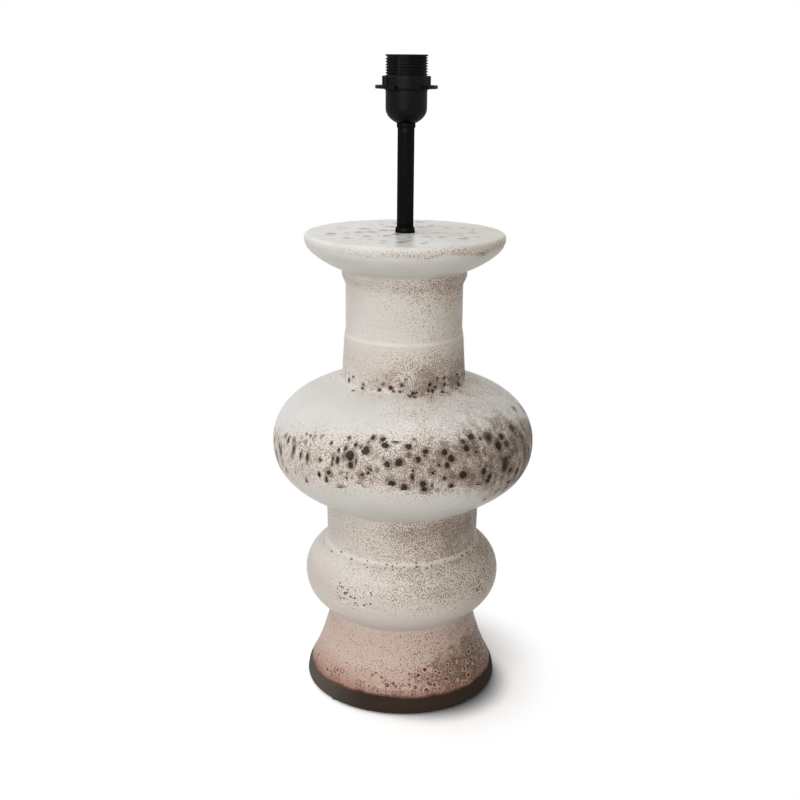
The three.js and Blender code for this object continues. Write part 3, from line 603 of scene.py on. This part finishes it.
# %% Stem
joined_to_body(turned("stem_foot", rounded(
    [(5.3, 467.8), (9.5, 467.8), (9.15, 472.8), (6.3, 472.8), (6.3, 476.8), (5.3, 476.8)],
    [0.1, 0.35, 0.7, 0.1, 0.2, 0.2], 5), 96), "lower_ferrule", "black_paint")
joined_to_body(turned("stem", np.vstack([
    line((8, 473.1), (8, 566.0), 24), [(7.85, 566.3), (6.6, 566.3)], line((6.6, 566.0), (6.6, 473.1), 2),
    [(6.75, 472.8), (7.85, 472.8)],
]), 96), "stem_tube", "black_paint")
joined_to_body(turned("stem_collar", rounded(
    [(5.3, 562.3), (6.3, 562.3), (6.3, 566.3), (8.85, 566.3), (8.85, 570.5), (5.3, 570.5)],
    [0.2, 0.2, 0.1, 0.45, 0.25, 0.1], 5), 96), "upper_ferrule", "black_paint")

# %% [markdown]
# ## The lampholder
# The lampholder has two moulded halves. The lower one is a rounded cap with a boss inside it, which takes
# the rod. The upper one has a coarse thread outside, and the bulb's screw shell and ceramic core inside.

# %% Dome cap
HOLDER = 570.5
DOME_WALL = 2.05
dome_round = curve((8.85, 0), (12.5, 1.6), (19.55, 6.0), (19.55, 13.7), count=22)
dome_inner = inset(dome_round, DOME_WALL)
dome_inner = dome_inner[(dome_inner[:, 0] > 9.4) & (dome_inner[:, 1] > 2.2)]
dome_outline = np.vstack([
    [(5.3, 0)], dome_round, line((19.55, 14.5), (19.55, 29.2), 12),
    curve((19.55, 29.5), (19.5, 30), (19.1, 30), count=4), [(17.5, 30), (17.5, 13.9)], dome_inner[::-1],
    [(9.2, 3.0), (9.2, 13.8), (9.0, 14.0), (7.3, 14.0), (7.3, 3.0), (5.3, 3.0)],
])
dome = turned("dome", dome_outline + [0, HOLDER], 120)


def facing_side(points):
    """Turns a piece made about Z so that its axis lies along +X at the height of the grub screw."""
    return np.stack([points[..., 2], points[..., 1], HOLDER + 8 - points[..., 0]], axis=-1)


cut_by(dome, solid_bar("grub_hole", 2.05, 5.4, 14.2, 40, facing_side))
joined_to_body(dome, "dome_cap", "black_plastic")

# %% [markdown]
# ### The threaded shell
# The outside of the upper half has a real thread, 40 mm across with 2.5 mm from ridge to ridge. A ridge
# swept along a helix would need its ends closed and joined. Here the wall itself is a function: the radius
# of each point comes from its height and its angle, so the skin stays one closed piece. Two plain strips
# break the thread, as the seam of the mould does on the real one.

# %% Outer shell
SHELL = 600.5
KEY_ANGLE, KEY_SPAN = math.radians(-117), math.radians(9)
ROOT, CREST, PITCH = 18.45, 19.8, 2.5
spigot = [(15.6, -5.8), (15.8, -6), (17.0, -6), (17.2, -5.8), (17.2, -0.05), (20.2, 0), (20.5, 0.3),
          (20.5, 1.1), (20.3, 1.3), (ROOT, 1.45)]
shell_thread = line((ROOT, 1.9), (ROOT, 29.9), 150)
rim = [(ROOT, 30.3), (19.6, 30.4), (CREST, 30.6), (CREST, 31.75), (19.55, 32.0), (16.5, 32.0), (15.6, 31.1)]
shell_outline = np.vstack([spigot, shell_thread, rim, line((15.6, 30), (15.6, -4), 6)])
radius, angle, height = stood_up(shell_outline, 288)
row = np.arange(len(shell_outline))[:, None] - len(spigot)
is_thread = (row >= 0) & (row < len(shell_thread))
run_out = soft_step(height, 1.9, 3.4) * (1 - soft_step(height, 28.9, 29.9))
from_key = np.abs((angle - KEY_ANGLE - KEY_SPAN / 2 + math.pi / 2) % math.pi - math.pi / 2)
off_key = soft_step(from_key, KEY_SPAN / 2, KEY_SPAN / 2 + math.radians(1.5))
thread = threaded(angle, height, PITCH, ROOT, CREST, 1.6)
radius = radius + is_thread * run_out * off_key * (thread - radius)
shell = skin("threaded_shell", radius, angle, height + SHELL)
joined_to_body(shell, "outer_shell", "black_plastic")

# %% [markdown]
# ### The shade ring
# The ring runs on that thread and would clamp a shade. Its collar has finger pockets, and two flat wings
# stand out at its foot. All of it is one turned outline whose outer radius changes with the angle, with
# narrow columns, so that the ends of the wings and pockets stay crisp.

# %% Shade ring
RING = 601.8
RING_BORE, COLLAR, POCKET, WING = 20.1, 23.0, 22.0, 29.3
RING_COLUMNS = 720


def within(turned_angle, start, end, soft=math.radians(0.6)):
    """1 where an angle lies between two angles given in degrees, 0 elsewhere, with soft ends."""
    start, end = math.radians(start), math.radians(end)
    return soft_step(turned_angle, start - soft, start) * (1 - soft_step(turned_angle, end, end + soft))


angle = (np.arange(RING_COLUMNS) / RING_COLUMNS * FULL_TURN)[None, :]
half = (angle + math.pi / 2) % math.pi - math.pi / 2
wing = COLLAR + (WING - COLLAR) * within(half, -57, 57)
pocket_share = sum(within(half, *edges) for edges in [(-54, -28), (-20, -4), (4, 20), (28, 54)])
pocket = COLLAR - (COLLAR - POCKET) * np.clip(pocket_share, 0, 1)
plain = np.full_like(wing, COLLAR)
inner = np.full_like(wing, RING_BORE)
ring_rows = [
    (inner, 0.35), (inner + 0.35, 0.0), (wing - 0.45, 0.01), (wing - 0.12, 0.13), (wing, 0.45),
    (wing, 2.75), (wing - 0.12, 3.07), (wing - 0.45, 3.18), (plain + 0.35, 3.2), (plain + 0.08, 3.3),
    (plain, 3.6), (plain, 3.88), (pocket, 4.0), (pocket, 10.0), (plain, 10.12), (plain, 10.75),
    (plain - 0.2, 11.2), (plain - 0.75, 11.58), (plain - 1.1, 11.6), (inner + 0.35, 11.6),
    (inner, 11.25), (inner, 6.0),
]
radius = np.vstack([row_radius for row_radius, _ in ring_rows])
height = np.repeat([[row_height] for _, row_height in ring_rows], RING_COLUMNS, axis=1) + RING
ring = skin("shade_ring_moulded", radius, np.broadcast_to(angle, radius.shape) + math.radians(10), height)
joined_to_body(ring, "shade_ring", "black_plastic", "ring_body")

# %% [markdown]
# ### The screw shell
# The bulb screws into a thin metal shell whose round thread is rolled into the sheet, so both faces share
# one wave.

# %% Screw shell
FLOOR_OF_CORE = 600.5
SHEET = 0.4
BULB_MEAN, BULB_WAVE, BULB_PITCH, BULB_COLUMNS = 12.8, 0.55, 3.62, 96


def rolled(angle, height):
    """The inner radius of the rolled thread: its mean plus a cosine of the height less the angle."""
    return BULB_MEAN + BULB_WAVE * np.cos(FULL_TURN * height / BULB_PITCH - angle)


rise = np.linspace(0.4, 24.0, 90)
columns = np.arange(BULB_COLUMNS) / BULB_COLUMNS * FULL_TURN
rising = rolled(columns[None, :], rise[:, None])
rows_radius = np.vstack([
    rolled(columns, 0.0)[None, :] + SHEET, rising + SHEET, rising[::-1], np.full((2, BULB_COLUMNS), 8.8),
])
rows_height = np.concatenate([[0.0], rise, rise[::-1], [0.4, 0.0]])[:, None] + FLOOR_OF_CORE
screw = skin("bulb_thread", rows_radius, np.broadcast_to(columns, rows_radius.shape),
             np.broadcast_to(rows_height, rows_radius.shape))
cut_by(screw, solid_bar("rivet_hole", 1.2, FLOOR_OF_CORE - 1, FLOOR_OF_CORE + 1.4, 32,
                        lambda points: points + np.array([10.6, 0, 0])))
joined_to_body(screw, "screw_shell", "terminal_brass")

# %% [markdown]
# # Finishes
# Each finish is built from nodes, so it has no seams and needs no picture file. All of them read Object
# coordinates, which are metres in the lamp's own frame, so a speck of one millimetre is one millimetre on
# every piece. Three effects come back in several finishes, and each is a node group: specks, fine grain and
# settled dust.

# %% Group helper
def new_group(name, inputs, outputs):
    """An empty node group with number or vector inputs and number outputs, and its two end nodes."""
    group = bpy.data.node_groups.new(name, "ShaderNodeTree")
    for label, value in inputs.items():
        kind = "NodeSocketVector" if value is None else "NodeSocketFloat"
        socket = group.interface.new_socket(name=label, in_out="INPUT", socket_type=kind)
        if value is not None:
            socket.default_value = value
    for label in outputs:
        group.interface.new_socket(name=label, in_out="OUTPUT", socket_type="NodeSocketFloat")
    start = group.nodes.new("NodeGroupInput")
    end = group.nodes.new("NodeGroupOutput")
    return group, start.outputs, end.inputs


def place_group(group, **inputs):
    """Puts a group beside the socket that places it, and returns its outputs."""
    node = inputs["Place"].id_data.nodes.new("ShaderNodeGroup")
    node.node_tree = group
    for label, source in inputs.items():
        feed(node.inputs[label], source)
    return node.outputs


print("group helpers ready")

# %% [markdown]
# ## Specks
# Iron in the clay melts through the glaze as dark specks with a paler or browner ring, each of its own
# size. A cell pattern gives one centre per cell. The distance to it, cut at a radius drawn for that cell,
# makes the speck, and a little noise on the coordinates keeps it from being round. Some cells stay empty.

# %% Speck group
specks, given, put = new_group(
    "specks", {"Place": None, "Cell": 0.008, "Size": 0.3, "Share": 0.5, "Raggedness": 0.3},
    ["Core", "Ring", "Height"])
per_metre = calculate("DIVIDE", 1.0, given["Cell"])
centred = vector("SUBTRACT", noise(given["Place"], times(per_metre, 2.6), 2.0)["Color"], (0.5, 0.5, 0.5))[0]
pushed = vector("MULTIPLY", centred, times(given["Raggedness"], given["Cell"]))[0]
moved = vector("ADD", given["Place"], pushed)[0]
cells = add_node(specks, "TexVoronoi", {"Vector": moved, "Scale": per_metre})
draw = add_node(specks, "SeparateColor", {0: cells.outputs["Color"]})
there = ease(minus(given["Share"], draw.outputs[0]), 0.0, 0.06)
spread = plus(times(calculate("POWER", draw.outputs[1], 1.6), 0.68), 0.32)
speck_radius = times(given["Size"], spread)
from_edge = calculate("DIVIDE", cells.outputs["Distance"], speck_radius)
feed(put["Core"], times(ease(from_edge, 1.05, 0.85), there))
feed(put["Ring"], times(ease(from_edge, 2.3, 1.1), ease(from_edge, 0.7, 1.1), there))
feed(put["Height"], times(ease(from_edge, 1.3, 0.3), there))
print("group:", specks.name)

# %% [markdown]
# ## Grain and dust
# Grain is plain noise cut between two levels: glaze clouds, moulded texture and paint all need some. Dust
# lies on whatever faces up, broken by noise, and makes a black piece read as a real one.

# %% Grain group
grain, given, put = new_group(
    "grain", {"Place": None, "Scale": 300.0, "Detail": 3.0, "From": 0.4, "To": 0.6}, ["Amount"])
clouding = noise(given["Place"], given["Scale"], given["Detail"], 0.6)[0]
feed(put["Amount"], ease(clouding, given["From"], given["To"]))
print("group:", grain.name)

# %% Dust group
dust, given, put = new_group("dust", {"Place": None, "Facing": None, "Amount": 0.4}, ["Amount"])
facing_up = add_node(dust, "SeparateXYZ", {0: given["Facing"]}).outputs[2]
clumps = noise(given["Place"], 900.0, 4.0, 0.7)[0]
settled = times(ease(facing_up, 0.25, 0.95), ease(clumps, 0.42, 0.68), given["Amount"])
feed(put["Amount"], settled)
print("group:", dust.name)

# %% Material helpers
DUST_COLOUR = colour(112, 108, 102)


def new_finish(name, **values):
    """A material with one Principled shader, and the values that are the same all over, on its own sockets.
    An underscore in a value's name stands for a space."""
    material = bpy.data.materials.new(name)
    material.use_nodes = True
    principled = material.node_tree.nodes["Principled BSDF"]
    for label, value in values.items():
        principled.inputs[label.replace("_", " ")].default_value = value
    print("finish:", name)
    return material, principled, add_node(material.node_tree, "TexCoord").outputs["Object"]


def surface(principled, tone, roughness, height, rise, strength=1.0):
    """Feeds the shader its colour, its roughness and a normal from a height: where that is 1, the surface
    stands up by the rise, in metres."""
    tree = principled.id_data
    relief = add_node(tree, "Bump", {"Height": height, "Distance": rise, "Strength": strength}).outputs[0]
    for label, source in (("Base Color", tone), ("Roughness", roughness), ("Normal", relief)):
        feed(principled.inputs[label], source)
    print("made of", len(tree.nodes), "nodes")


def gloss_coat(principled, weight, roughness):
    """A clear coat that is full where the surface faces the viewer and fades out towards its edges."""
    facing = add_node(principled.id_data, "LayerWeight", {"Blend": 0.5}).outputs["Facing"]
    feed(principled.inputs["Coat Weight"], ease(facing, 0.3, 0.8, weight, 0.0))
    principled.inputs["Coat Roughness"].default_value = roughness


def amount(place, scale, start, end, detail=3.0):
    """The grain group as one number over the surface."""
    return place_group(grain, Place=place, Scale=scale, Detail=detail, From=start, To=end)["Amount"]


def dusted(place, most):
    """The dust group as one number, at most that much. It reads the normal beside the coordinates."""
    return place_group(dust, Place=place, Facing=place.node.outputs["Normal"], Amount=most)["Amount"]


def stretched(place, scale, turn=(0, 0, 0)):
    """Coordinates turned, and scaled along each axis, so that a pattern on them is drawn out."""
    return add_node(place.id_data, "Mapping", {"Vector": place, "Rotation": turn, "Scale": scale}).outputs[0]


def ramp(share, stops):
    """A colour for each share of the way from 0 to 1, read off between the given stops, lowest first."""
    node = add_node(share.id_data, "ValToRGB", {0: share})
    elements = node.color_ramp.elements
    elements[0].position, elements[0].color = stops[0]
    elements[1].position, elements[1].color = stops[-1]
    for position, value in stops[1:-1]:
        elements.new(position).color = value
    return node.outputs[0]


print("material helpers ready")

# %% [markdown]
# ## Glazed stoneware
# The glaze is off-white where it is thick and lets the red clay through where it runs thin: at the foot, on
# the creases and along every edge. Iron specks gather in bands. A painted picture could hold all this, but
# it would blur close up. Here a ramp over the height gives the ground colour, with a painted highlight and
# painted shade at a few heights, and further ramps say how dense each kind of speck is at that height, so
# the pattern goes on all round the lamp. Painted shade also darkens the right side and the left shoulder.

# %% Glaze coordinates
glaze, shader, place = new_finish("glazed_stoneware", IOR=1.5, Specular_IOR_Level=0.14)
tree = shader.id_data
flat = vector("MULTIPLY", place, (1, 1, 0))[0]
from_axis = vector("LENGTH", flat)["Value"]
right, back = add_node(tree, "SeparateXYZ", {0: vector("NORMALIZE", flat)[0]}).outputs[:2]
front = times(back, -1.0)
level = times(add_node(tree, "SeparateXYZ", {0: place}).outputs[2], 1 / MM)
wavy_level = plus(level, times(minus(noise(place, 30.0)[0], 0.5), 16.0))
print("heights are read in millimetres, up to", TOP)


def zone(start, full, fade, end, height=wavy_level):
    """1 between two heights in millimetres, with soft ends: it starts, is full, fades and ends."""
    return times(ease(height, start, full), ease(height, end, fade))


def spots(place, share, cell, size, raggedness):
    """The speck group at a place: the share of cells with a speck, a cell in metres, a speck in cells."""
    return place_group(specks, Place=place, Share=share, Cell=cell, Size=size, Raggedness=raggedness)


# %% Glaze ground
# Painted light in three steps: the pale one at 144 mm is a painted highlight round the top of the lower ring,
# the one at 296 mm paints the belly's shoulder paler against the shade under the tray, and the dark one at 425
# mm is painted shade under the bead.
GROUND_AND_PAINTED_LIGHT = [
    (15, 152, 112, 96), (30, 180, 151, 137), (46, 195, 176, 165), (72, 194, 173, 160), (82, 206, 196, 187),
    (112, 206, 196, 188), (128, 198, 188, 180), (144, 216, 210, 204), (172, 196, 188, 180),
    (204, 210, 208, 201), (250, 210, 206, 199), (296, 226, 225, 221), (322, 222, 219, 214),
    (345, 204, 195, 185), (380, 212, 208, 201), (418, 210, 205, 198), (425, 194, 186, 177),
    (429, 208, 202, 195), (440, 212, 209, 202), (462, 218, 215, 210), (TOP, 222, 220, 216),
]
share_up = calculate("DIVIDE", wavy_level, TOP)
ground = ramp(share_up, [(height / TOP, colour(*tone)) for height, *tone in GROUND_AND_PAINTED_LIGHT])
clouds = times(amount(place, 20.0, 0.42, 0.7), 0.14)
ground = blend(clouds, ground, colour(178, 168, 156))
# Painted shade: the belly's shoulder is painted darker towards its left side.
left_shoulder_painted_shade = times(zone(268, 296, 316, 326), ease(right, 0.0, -0.6, 0.0, 0.4))
ground = blend(left_shoulder_painted_shade, ground, colour(186, 184, 181))
print("ground colour runs from the foot to", TOP, "mm in", len(GROUND_AND_PAINTED_LIGHT), "steps")

# %% [markdown]
# ### Iron in the glaze
# Most of the pattern is one fine net of cream dots and brown gaps. Where there is little iron only a few
# brown specks show, and where there is much the brown closes up. So one cell pattern is cut at a level that
# follows the amount of iron, and a ramp over the height says how much there is. The left side of the lamp
# ran cleaner in the kiln.

# %% Iron
IRON = [
    (14, 0.62), (30, 0.5), (52, 0.34), (76, 0.32), (84, 0.18), (98, 0.14), (112, 0.34), (128, 0.54),
    (142, 0.5), (151, 0.52), (160, 0.6), (188, 0.72), (197, 0.6), (204, 0.0), (305, 0.0), (322, 0.42),
    (328, 0.58), (342, 0.58), (356, 0.46), (366, 0.34), (369, 0.2), (373, 0.32), (398, 0.27), (412, 0.38),
    (421, 0.6), (431, 0.5), (435, 0.08), (455, 0.05), (459, 0.52), (464, 0.34), (TOP, 0.12),
]
iron = ramp(share_up, [(height / TOP, (share, share, share, 1)) for height, share in IRON])
iron = times(iron, ease(right, -0.95, 0.6, 0.5, 1.2))
band_level = minus(wavy_level, ease(front, 0.0, 1.0, 0.0, 21.0))
belly_ends = times(zone(200, 226, 272, 304, band_level), ease(right, 0.4, 0.85))
belly_band = highest(zone(205, 240, 258, 304, band_level), belly_ends)
shoulder = times(zone(262, 290, 326, 334), ease(right, -0.55, 0.1), 0.36)
iron = highest(iron, shoulder, times(belly_band, ease(right, -0.9, 0.75, 0.5, 0.84)))
patchy = times(minus(amount(place, 60.0, 0.3, 0.7, 4.0), 0.5), 0.18)
iron = calculate("ADD", iron, times(patchy, ease(iron, 0.1, 0.4)), clamp=True)
net_cells = add_node(tree, "TexVoronoi", {"Vector": place, "Scale": 860.0}).outputs["Distance"]
net = ease(plus(net_cells, times(iron, 0.6)), 0.8, 0.95)
print("iron ramp has", len(IRON), "steps")

# %% The net of cream and brown
in_foot = ease(level, 83.0, 76.0)
cream = blend(in_foot, colour(222, 212, 203), colour(203, 182, 170))
brown = ramp(iron, [(0.15, colour(191, 181, 170)), (0.5, colour(147, 127, 109)), (0.85, colour(108, 84, 64))])
brown = blend(in_foot, brown, colour(128, 90, 75))
layer = blend(times(ease(iron, 0.2, 0.55), 0.75), ground, cream)
layer = blend(times(net, 0.8), layer, brown)
tilted = stretched(place, (1.0, 1.0, 0.45), (0, 0.5, 0.3))
right_end = times(belly_band, ease(right, 0.15, 0.8))
smear = times(amount(tilted, 85.0, 0.46, 0.6, 5.0), right_end)
layer = blend(times(smear, 0.8), layer, colour(62, 46, 35))
middle_band = times(zone(232, 240, 264, 276, band_level), ease(right, -0.5, 0.1))
middle_smear = times(amount(place, 70.0, 0.52, 0.64, 5.0), middle_band)
layer = blend(times(middle_smear, 0.5), layer, colour(118, 94, 80))
on_fillet = times(zone(324, 331, 338, 352), ease(right, -1.0, 0.2))
fillet_smear = times(amount(place, 60.0, 0.3, 0.62, 4.0), on_fillet)
layer = blend(times(fillet_smear, 0.55), layer, colour(116, 98, 84))
# A pale line along two creases, on the neck and at the top of the lower ring: partly glaze pooled pale, partly
# a painted highlight.
pale_ridge_and_highlight = highest(zone(367.2, 368.2, 370.4, 372.0, level), zone(151.4, 152.6, 154.4, 156.4, level))
layer = blend(times(pale_ridge_and_highlight, 0.55), layer, colour(226, 221, 213))
print("net ready on", glaze.name)

# %% [markdown]
# ### Dark spots
# Where iron gathered it broke through in round dark spots with a brown halo. They stand thickest in a band
# round the belly, which dips towards the sides. A second set follows the fillet under the neck, small ones
# sit on the lower ring, and on the foot the spots have pale rings, like burst bubbles.

# %% Dark spots
def spotted(under, spots, core_colour, ring_colour, core_share=0.95, ring_share=0.6):
    """Lays spots over a colour: their rings first, then their cores."""
    ringed = blend(times(spots["Ring"], ring_share), under, ring_colour)
    return blend(times(spots["Core"], core_share), ringed, core_colour)


dark, halo = colour(15, 8, 5), colour(98, 73, 55)
band_core = zone(226, 234, 268, 280, band_level)
left_spots = spots(tilted, times(band_core, ease(right, -0.1, -0.75, 0.2, 0.75)), 0.0056, 0.4, 0.35)
layer = spotted(layer, left_spots, dark, halo)
big_spots = spots(place, times(band_core, ease(right, -0.75, -0.2)), 0.0098, 0.48, 0.3)
layer = spotted(layer, big_spots, dark, halo)
end_spots = spots(tilted, times(right_end, 0.6), 0.0115, 0.42, 0.6)
layer = spotted(layer, end_spots, colour(40, 27, 20), colour(78, 58, 44), 0.9, 0.5)
fillet_share = times(zone(322, 325, 333, 340), ease(right, -0.9, 0.4, 0.45, 0.95))
fillet_spots = spots(place, fillet_share, 0.005, 0.5, 0.5)
layer = spotted(layer, fillet_spots, colour(36, 25, 20), halo)
print("belly and neck spots ready")

# %% Spots on the ring and the tray
left_group = times(ease(right, -0.75, -0.55), ease(right, -0.2, -0.38), zone(106, 114, 130, 138))
right_group = times(ease(right, 0.55, 0.72), zone(112, 120, 136, 146))
crease_row = times(zone(149.5, 151.5, 155.0, 157.5, level), ease(right, -0.8, 0.2, 0.35, 0.9))
ring_spots = spots(place, highest(left_group, right_group, crease_row), 0.0034, 0.5, 0.4)
layer = spotted(layer, ring_spots, colour(74, 60, 53), colour(228, 216, 206), 0.85, 0.6)
on_tray = times(ease(level, 466.4, 467.3), ease(from_axis, 0.086, 0.066))
tray_spots = spots(place, times(on_tray, 0.8), 0.0125, 0.44, 0.45)
layer = spotted(layer, tray_spots, colour(112, 104, 97), colour(168, 162, 155), 0.75, 0.45)
print("ring and tray spots ready")

# %% Spots on the foot
# The foot is painted dark brown low down on its right side: partly iron, partly painted shade.
foot_right_iron_and_shade = times(ease(wavy_level, 68.0, 30.0), ease(right, 0.15, 0.85), 0.72)
layer = blend(foot_right_iron_and_shade, layer, colour(88, 62, 50))
foot_reach = ease(right, -0.2, 0.85, 34.0, 62.0)
foot_share = times(ease(minus(wavy_level, foot_reach), 4.0, -6.0), ease(right, -0.9, 0.6, 0.3, 1.0))
FOOT_CELL = 0.0074
foot_spots = spots(place, foot_share, FOOT_CELL, 0.4, 0.25)
foot_rings = spots(place, foot_share, FOOT_CELL, 0.66, 0.25)
layer = blend(times(foot_rings["Core"], 0.8), layer, colour(202, 168, 146))
layer = blend(times(foot_rings["Ring"], 0.6), layer, colour(88, 62, 52))
layer = blend(times(foot_spots["Core"], 0.95), layer, colour(44, 32, 28))
dot_share = times(ease(level, 44.0, 30.0), ease(right, -0.95, 0.2, 0.35, 0.8))
foot_dots = spots(place, dot_share, 0.0042, 0.5, 0.3)
layer = spotted(layer, foot_dots, colour(84, 58, 48), colour(196, 166, 148), 0.8, 0.55)
print("foot spots ready")

# %% [markdown]
# ### The glaze's lower edge
# The glaze stops a finger's width above the table in a wavy line. Just above it the iron turns it
# red-brown, and below it the clay is bare, nearly black and matt. The mesh carries its own height above
# that line, so colour, gloss and the step in the wall all follow the same wave.

# %% Glaze edge
edge_height = add_node(tree, "Attribute", attribute_name="above_glaze_edge").outputs["Fac"]
edge_height = plus(edge_height, times(minus(noise(place, 260.0)[0], 0.5), 2.2))
glazed = ease(edge_height, -0.35, 0.35)
unglazed = minus(1.0, glazed)
layer = blend(times(ease(edge_height, 9.0, 1.2), 0.6), layer, colour(132, 96, 80))
layer = blend(times(ease(edge_height, 2.4, 0.9), 0.85), layer, colour(86, 50, 40))
# The bare clay is painted paler and greyer towards the left, a painted sheen where the light falls from that
# side.
clay_tone = blend(ease(right, -0.95, -0.35, 0.9, 0.0), colour(54, 42, 35), colour(94, 90, 81))
clay_grain = amount(place, 700.0, 0.35, 0.7, 5.0)
clay_tone = blend(times(clay_grain, 0.5), clay_tone, colour(44, 34, 29))
clay_tone = blend(ease(edge_height, -40.0, -60.0), clay_tone, colour(150, 124, 104))
# Painted shade: away from the shoulder, the right side of the column is multiplied by a warm dark tone, up to
# half strength.
WARM_PAINTED_SHADE = (0.72, 0.66, 0.56, 1)
painted_warm_shade = add_node(tree, "Mix", {0: 1.0, 6: layer, 7: WARM_PAINTED_SHADE}, data_type="RGBA", blend_type="MULTIPLY")
off_shoulder = highest(ease(level, 304.0, 284.0), ease(level, 324.0, 334.0))
layer = blend(times(ease(right, 0.25, 1.0, 0.0, 0.5), off_shoulder), layer, painted_warm_shade.outputs[2])
layer = blend(glazed, clay_tone, layer)
print("bare clay below the wave of the glaze's edge")

# %% Gloss and relief of the glaze
dark_cores = highest(big_spots["Core"], fillet_spots["Core"])
satin = plus(times(net, 0.1), ease(level, 464.0, 467.0, 0.4, 0.3), times(dark_cores, 0.1))
pits = plus(big_spots["Height"], fillet_spots["Height"], foot_spots["Height"], times(net, 0.35))
relief = minus(times(amount(place, 210.0, 0.3, 0.75, 2.0), 0.5), times(pits, 0.5))
relief = plus(relief, times(clay_grain, unglazed, 1.2))
surface(shader, layer, plus(satin, times(unglazed, 0.5)), relief, 0.00016)

# %% [markdown]
# ## Black plastic and black paint
# Both are black, but not the same black. Moulded plastic has a dull, even skin and takes dust on its
# ledges. Paint on the stem is smoother and slightly wavy, so that a soft streak of light runs down it. A
# plain gloss would mirror the white room at every edge and make a thin black piece look thinner, so the
# gloss is a clear coat that fades out there.

# %% Black plastic
plastic, shader, place = new_finish("black_plastic", Specular_IOR_Level=0.02)
gloss_coat(shader, 0.15, 0.28)
mould_skin = amount(place, 2600.0, 0.3, 0.7, 2.0)
tone = blend(amount(place, 130.0, 0.35, 0.7), colour(7, 8, 8), colour(12, 12, 11))
settled = dusted(place, 0.1)
tone = blend(settled, tone, DUST_COLOUR)
surface(shader, tone, plus(times(mould_skin, 0.12), 0.3, times(settled, 0.4)), mould_skin, 0.00002, 0.6)

# %% Black paint
paint, shader, place = new_finish("black_paint", Specular_IOR_Level=0.0)
gloss_coat(shader, 0.12, 0.14)
peel = amount(place, 620.0, 0.25, 0.75, 2.0)
nibs = spots(place, 0.35, 0.004, 0.09, 0.4)
tone = blend(amount(place, 90.0, 0.35, 0.7), colour(5, 5, 5), colour(8, 8, 8))
tone = blend(times(nibs["Core"], 0.35), tone, colour(58, 56, 54))
tone = blend(dusted(place, 0.12), tone, DUST_COLOUR)
surface(shader, tone, plus(times(peel, 0.06), 0.2), plus(times(peel, 0.5), nibs["Height"]), 0.00003)

# %% [markdown]
# ## Metals
# Zinc plating dries in faint flakes, brass goes brown in patches, and bronze is darker and smoother. Each
# is one metal colour, a second one laid over it by noise, and fine lines where it was turned or rolled.

# %% Metals
def metal(name, bright, dull, flake, shine):
    """A metal whose two tones follow cells and noise, with fine turned lines in its roughness and relief."""
    material, shader, place = new_finish(name, Metallic=1.0)
    tree = shader.id_data
    cells = add_node(tree, "TexVoronoi", {"Vector": place, "Scale": 1 / flake})
    cell_tone = add_node(tree, "SeparateColor", {0: cells.outputs["Color"]}).outputs[0]
    tone_share = plus(times(cell_tone, 0.3), times(amount(place, 180.0, 0.4, 0.7, 4.0), 0.5))
    lines = amount(stretched(place, (0.2, 0.2, 6.0)), 900.0, 0.3, 0.7, 2.0)
    roughness = plus(times(tone_share, 0.25), shine, times(lines, 0.08))
    surface(shader, blend(tone_share, bright, dull), roughness, lines, 0.00001)
    return material


zinc = metal("zinc_steel", colour(196, 198, 201), colour(150, 153, 157), 0.0022, 0.26)
brass = metal("terminal_brass", colour(214, 176, 98), colour(158, 120, 62), 0.004, 0.22)
bronze = metal("spring_bronze", colour(206, 150, 102), colour(150, 102, 68), 0.004, 0.2)

# %% [markdown]
# ## Rubber, felt and the ceramic core
# The last three are matt. Rubber greys with a bloom, felt is a mat of short fibres that catches light at a
# low angle, and the pressed core has a dry surface with pinholes.

# %% Rubber
rubber, shader, place = new_finish("soft_rubber", Specular_IOR_Level=0.3)
bloom = amount(place, 240.0, 0.4, 0.75, 4.0)
tone = blend(bloom, colour(27, 27, 28), colour(48, 46, 45))
surface(shader, tone, plus(times(bloom, 0.15), 0.68), amount(place, 1500.0, 0.3, 0.7), 0.00003)

# %% Felt
felt, shader, place = new_finish("felt", Sheen_Weight=0.35, Sheen_Roughness=0.6)
fibres = amount(stretched(place, (1.0, 0.25, 1.0)), 2600.0, 0.4, 0.65, 2.0)
crossed = amount(stretched(place, (0.25, 1.0, 1.0)), 2300.0, 0.4, 0.65, 2.0)
mat = highest(fibres, crossed)
tone = blend(mat, colour(30, 28, 27), colour(66, 62, 58))
surface(shader, tone, plus(times(mat, 0.08), 0.9), mat, 0.0001)

# %% Core
core, shader, place = new_finish("core_ceramic")
pinholes = spots(place, 0.4, 0.0022, 0.14, 0.3)
tone = blend(amount(place, 160.0, 0.35, 0.7), colour(228, 222, 208), colour(208, 199, 182))
tone = blend(times(pinholes["Core"], 0.6), tone, colour(140, 124, 104))
roughness = plus(times(amount(place, 900.0, 0.3, 0.7), 0.15), 0.5)
surface(shader, tone, roughness, minus(1.0, pinholes["Height"]), 0.00004)

# %% [markdown]
# Finishing
# Every shown piece and every imported node that stays gets the finish of its own slot.

# %% Give out the finishes
FINISHES = {
    "glazed_stoneware": glaze, "black_plastic": plastic, "black_paint": paint,
    "zinc_steel": zinc, "terminal_brass": brass, "spring_bronze": bronze,
    "soft_rubber": rubber, "felt": felt, "core_ceramic": core,
}
slots = {part["node"]: part["material_slot"] for part in frame["record"]["subparts"]}
for name, node in frame["nodes"].items():
    node.data.materials.clear()
    node.data.materials.append(FINISHES[slots[name]])
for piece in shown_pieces():
    if "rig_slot" in piece:
        piece.data.materials.clear()
        piece.data.materials.append(FINISHES[piece["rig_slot"]])
